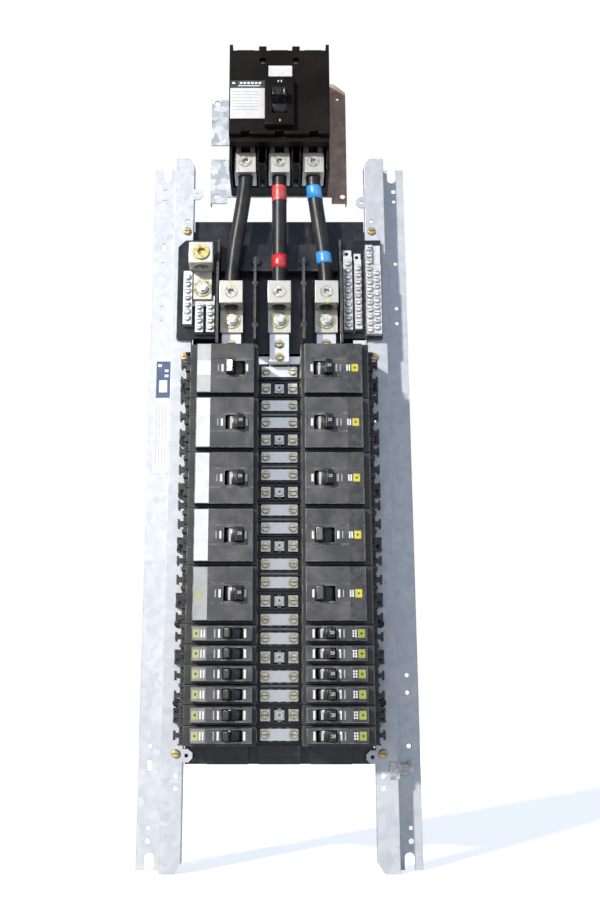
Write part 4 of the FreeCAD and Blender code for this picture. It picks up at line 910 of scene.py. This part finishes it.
# ON and OFF bars on both sides of each slot, with a fainter tick outside.
SLOT_X = 44.5 * MM
BAR_X = (SLOT_X - 11.7 * MM, SLOT_X + 13.2 * MM)
TICK_X = (BAR_X[1] + 4.2 * MM,)
three_rows = [(1, z) for z in right_three] + [(-1, z) for z in left_three]
single_rows = [(side, z) for side in (-1, 1) for z in singles]
for name, rows, x_places, width, height, ink in (
        ("throw_bars_three", three_rows, BAR_X, 2.2 * MM, 7.6 * MM, white_ink),
        ("throw_ticks_three", three_rows, TICK_X, 1.1 * MM, 7.0 * MM, grey_ink),
        ("throw_bars_single", single_rows, BAR_X, 2.0 * MM, 8.0 * MM, white_ink),
        ("throw_ticks_single", single_rows, TICK_X, 1.2 * MM, 8.0 * MM, grey_ink)):
    cards(name, [(side * x, FACE_Y, z) for side, z in rows for x in x_places], width, height, ink)


# ---------------------------------------------------------------------------------------
# Rating numerals and indicator stripes of the toggles. White figures are printed on the tip
# of each toggle that leans towards +X, and a white line runs along every drum; both move with the toggle.

THROW_HALF = math.radians(13)
DRUM_R = 14.6 * MM
TIP_R = 25.5 * MM
STRIPE_TURNS = (-0.58, -0.53, -0.48, -0.43)
STRIPE_DEPTH = (-0.3 * MM, 0.12 * MM)


def handle_turn(node):
    """Pivot of a toggle at rest, and its lean about Z, from where its tip stands."""
    joint = next(j for j in frame["record"]["behaviour"]["joints"] if j["child"] == node)
    pivot = Vector(joint["pos_m"])
    piece = NODES[node]
    places = [piece.matrix_world @ vertex.co for vertex in piece.data.vertices]
    foremost = min(place.y for place in places)
    tip = [place.x for place in places if place.y < foremost + 1.5 * MM]
    return pivot, math.copysign(THROW_HALF, sum(tip) / len(tip) - pivot.x)


def numerals(name):
    """Upright figures as a flat mesh, facing forward and centred on the origin."""
    curve = bpy.data.curves.new(name, "FONT")
    curve.body = "20"
    curve.size = 4.4 * MM
    curve.align_x = "CENTER"
    curve.align_y = "CENTER"
    curve.extrude = CARD / 2
    curve.resolution_u = 2
    text = bpy.data.objects.new(name, curve)
    bpy.context.scene.collection.objects.link(text)
    bpy.context.view_layer.update()
    mesh = bpy.data.meshes.new_from_object(text.evaluated_get(bpy.context.evaluated_depsgraph_get()))
    bpy.data.objects.remove(text)
    mesh.transform(Matrix.Rotation(math.pi / 2, 4, "X"))
    return mesh


def stripe_mesh(name, grip, half):
    """A thin curved bar on the drum, closed at both ends."""
    work = bmesh.new()
    ring = []
    for turn in STRIPE_TURNS:
        for depth in STRIPE_DEPTH:
            for z in (-half, half):
                radius = DRUM_R + depth
                spot = Vector((radius * math.sin(turn), -radius * math.cos(turn), z))
                ring.append(work.verts.new(grip @ spot))
    for k in range(len(STRIPE_TURNS) - 1):
        a, b = ring[4 * k:4 * k + 4], ring[4 * k + 4:4 * k + 8]
        for corners in ((a[2], a[3], b[3], b[2]), (a[0], b[0], b[1], a[1]),
                        (a[0], a[2], b[2], b[0]), (a[1], b[1], b[3], a[3])):
            work.faces.new(corners)
    first, last = ring[:4], ring[-4:]
    work.faces.new((first[0], first[1], first[3], first[2]))
    work.faces.new((last[0], last[2], last[3], last[1]))
    bmesh.ops.recalc_face_normals(work, faces=work.faces)
    mesh = bpy.data.meshes.new(name)
    work.to_mesh(mesh)
    work.free()
    mesh.materials.append(grey_ink)
    return mesh


figures = numerals("figures")
figures.materials.append(white_ink)
for node in NODES:
    if "_handle_" not in node:
        continue
    pivot, lean = handle_turn(node)
    grip = Matrix.Translation(pivot) @ Matrix.Rotation(lean, 4, "Z")
    if lean > 0:
        mesh = figures.copy()
        mesh.transform(grip @ Matrix.Translation((0, -TIP_R - CARD / 2, 0)))
        attach(node + "_figures", mesh, node)
    low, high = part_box(node)
    half = (high.z - low.z) / 2 - 0.8 * MM
    attach(node + "_stripe", stripe_mesh(node + "_stripe", grip, half), node)


# ---------------------------------------------------------------------------------------
# Labels of the main breaker. A black header with white bars over a white sheet of faint
# lines, a blank white label above the escutcheon, and white ON and OFF marks.

COVER_Y = -0.090
ESCUTCHEON_Y = -0.098
ON_COVER = COVER_Y - CARD


def cover_cards(name, spots, width, height, finish):
    cards(name, spots, width, height, finish)


cover_cards("main_label_header", [(-0.03465, COVER_Y, 0.43865)], 38.1 * MM, 9.3 * MM, dark_label)
cover_cards("main_label_sheet", [(-0.03465, COVER_Y, 0.4155)], 38.1 * MM, 37.0 * MM, white_label)
cover_cards("main_label_blank", [(0.00105, COVER_Y, 0.45505)], 25.9 * MM, 13.1 * MM, white_label)
header_bars = [(-0.0501 + 4.1 * MM * k, ON_COVER, 0.4402) for k in range(8) if k != 1]
cover_cards("main_header_bars", header_bars, 2.9 * MM, 2.4 * MM, white_ink)
cover_cards("main_header_line", [(-0.0330, ON_COVER, 0.4368)], 24 * MM, 1.1 * MM, white_ink)
sheet_lines = [(-0.0370, ON_COVER, 0.4295 - 3.6 * MM * k) for k in range(7)]
cover_cards("main_sheet_lines", sheet_lines, 28 * MM, 0.35 * MM, pale_label)
on_marks = [(x, ESCUTCHEON_Y, z) for x, z in ((-0.0012, 0.4376), (0.0022, 0.4376), (0.0006, 0.3902))]
cover_cards("main_on_marks", on_marks, 1.1 * MM, 2.6 * MM, white_ink)


# ---------------------------------------------------------------------------------------
# Small fasteners of the main breaker. Two zinc-plated screw heads sunk in the holes at its
# top and two square nuts held at the foot of its barriers.

discs("main_top_screws", [(x, -0.0812, 0.4683) for x in (-0.0184, 0.0184)], 3.6 * MM, strip_metal,
      1.6 * MM)
cards("barrier_nuts", [(x, -0.0305, 0.3490) for x in (-0.0187, 0.0187)], 4.4 * MM, 4.2 * MM, strip_metal,
      1.6 * MM)


# ---------------------------------------------------------------------------------------
# Painted highlights between the branch connectors: bright white cards that stand for the lit
# edge line between the paired ribs, one after each set of three phases, with small moulded pips.

highlight_white = plated_finish("painted_link_highlight", (0.95, 0.94, 0.92), roughness=0.5, streak=(40, 40, 900),
                            warm=(0.85, 0.80, 0.70), metallic=0.2)
first_row = left_three[0] + POLE_PITCH
link_edge_highlights = [(0, -0.0222, first_row - (3 * k + 2.5) * POLE_PITCH) for k in range(6)]
# Painted highlight: white cards where the lit edge line between the ribs shows.
cards("link_edge_highlights", link_edge_highlights, 38 * MM, 1.9 * MM, highlight_white, 0.8 * MM)
pip_rows = [first_row - (3 * k + j + 0.5) * POLE_PITCH + 1.9 * MM for k in range(7) for j in (0, 1)]
pips = [(x, -0.0242, z) for z in pip_rows for x in (-0.0048, -0.0030, 0.0030, 0.0048)]
cards("rib_pips", pips, 0.9 * MM, 0.8 * MM, grey_ink, 0.3 * MM)


# ---------------------------------------------------------------------------------------
# Rail labels and paint marks. A coloured block over a long white label on the left rail's
# wall flange, a small white tag at the right, and yellow torque marks on two lugs.

FLANGE_Y = -0.0015
ON_FLANGE = FLANGE_Y - CARD
blue_label = print_finish("blue_label", (0.030, 0.070, 0.17), (0.022, 0.05, 0.12), 0.4)
faint_ink = print_finish("faint_ink", (0.34, 0.35, 0.37), (0.55, 0.55, 0.55), 0.5)
yellow_paint = print_finish("yellow_paint", (0.70, 0.58, 0.05), (0.62, 0.56, 0.20), 0.3)


def rail_cards(name, spots, width, height, finish):
    cards(name, spots, width, height, finish)


rail_cards("rail_label_block", [(-0.1285, FLANGE_Y, 0.1278)], 15.5 * MM, 42 * MM, blue_label)
rail_cards("rail_label_window", [(-0.1285, ON_FLANGE, 0.1200)], 9 * MM, 14 * MM, white_ink)
label_marks = [(x, ON_FLANGE, z) for x, z in ((-0.1325, 0.1440), (-0.1250, 0.1380), (-0.1250, 0.1320))]
rail_cards("rail_label_marks", label_marks, 4.2 * MM, 3.0 * MM, white_ink)
rail_cards("rail_label_sheet", [(-0.1295, FLANGE_Y, 0.0640)], 17 * MM, 84 * MM, white_label)
label_lines = [(-0.1350 + 3.4 * MM * k, ON_FLANGE, 0.0640) for k in range(4)]
rail_cards("rail_label_lines", label_lines, 0.6 * MM, 66 * MM, faint_ink)
cards("deck_tag", [(0.0855, -0.0500, 0.1530)], 13 * MM, 6 * MM, white_label, 0.8 * MM)
cards("torque_marks", [(-0.0516, -0.060, 0.2180), (0.0520, -0.060, 0.1985)], 2.6 * MM, 5.0 * MM,
      yellow_paint)
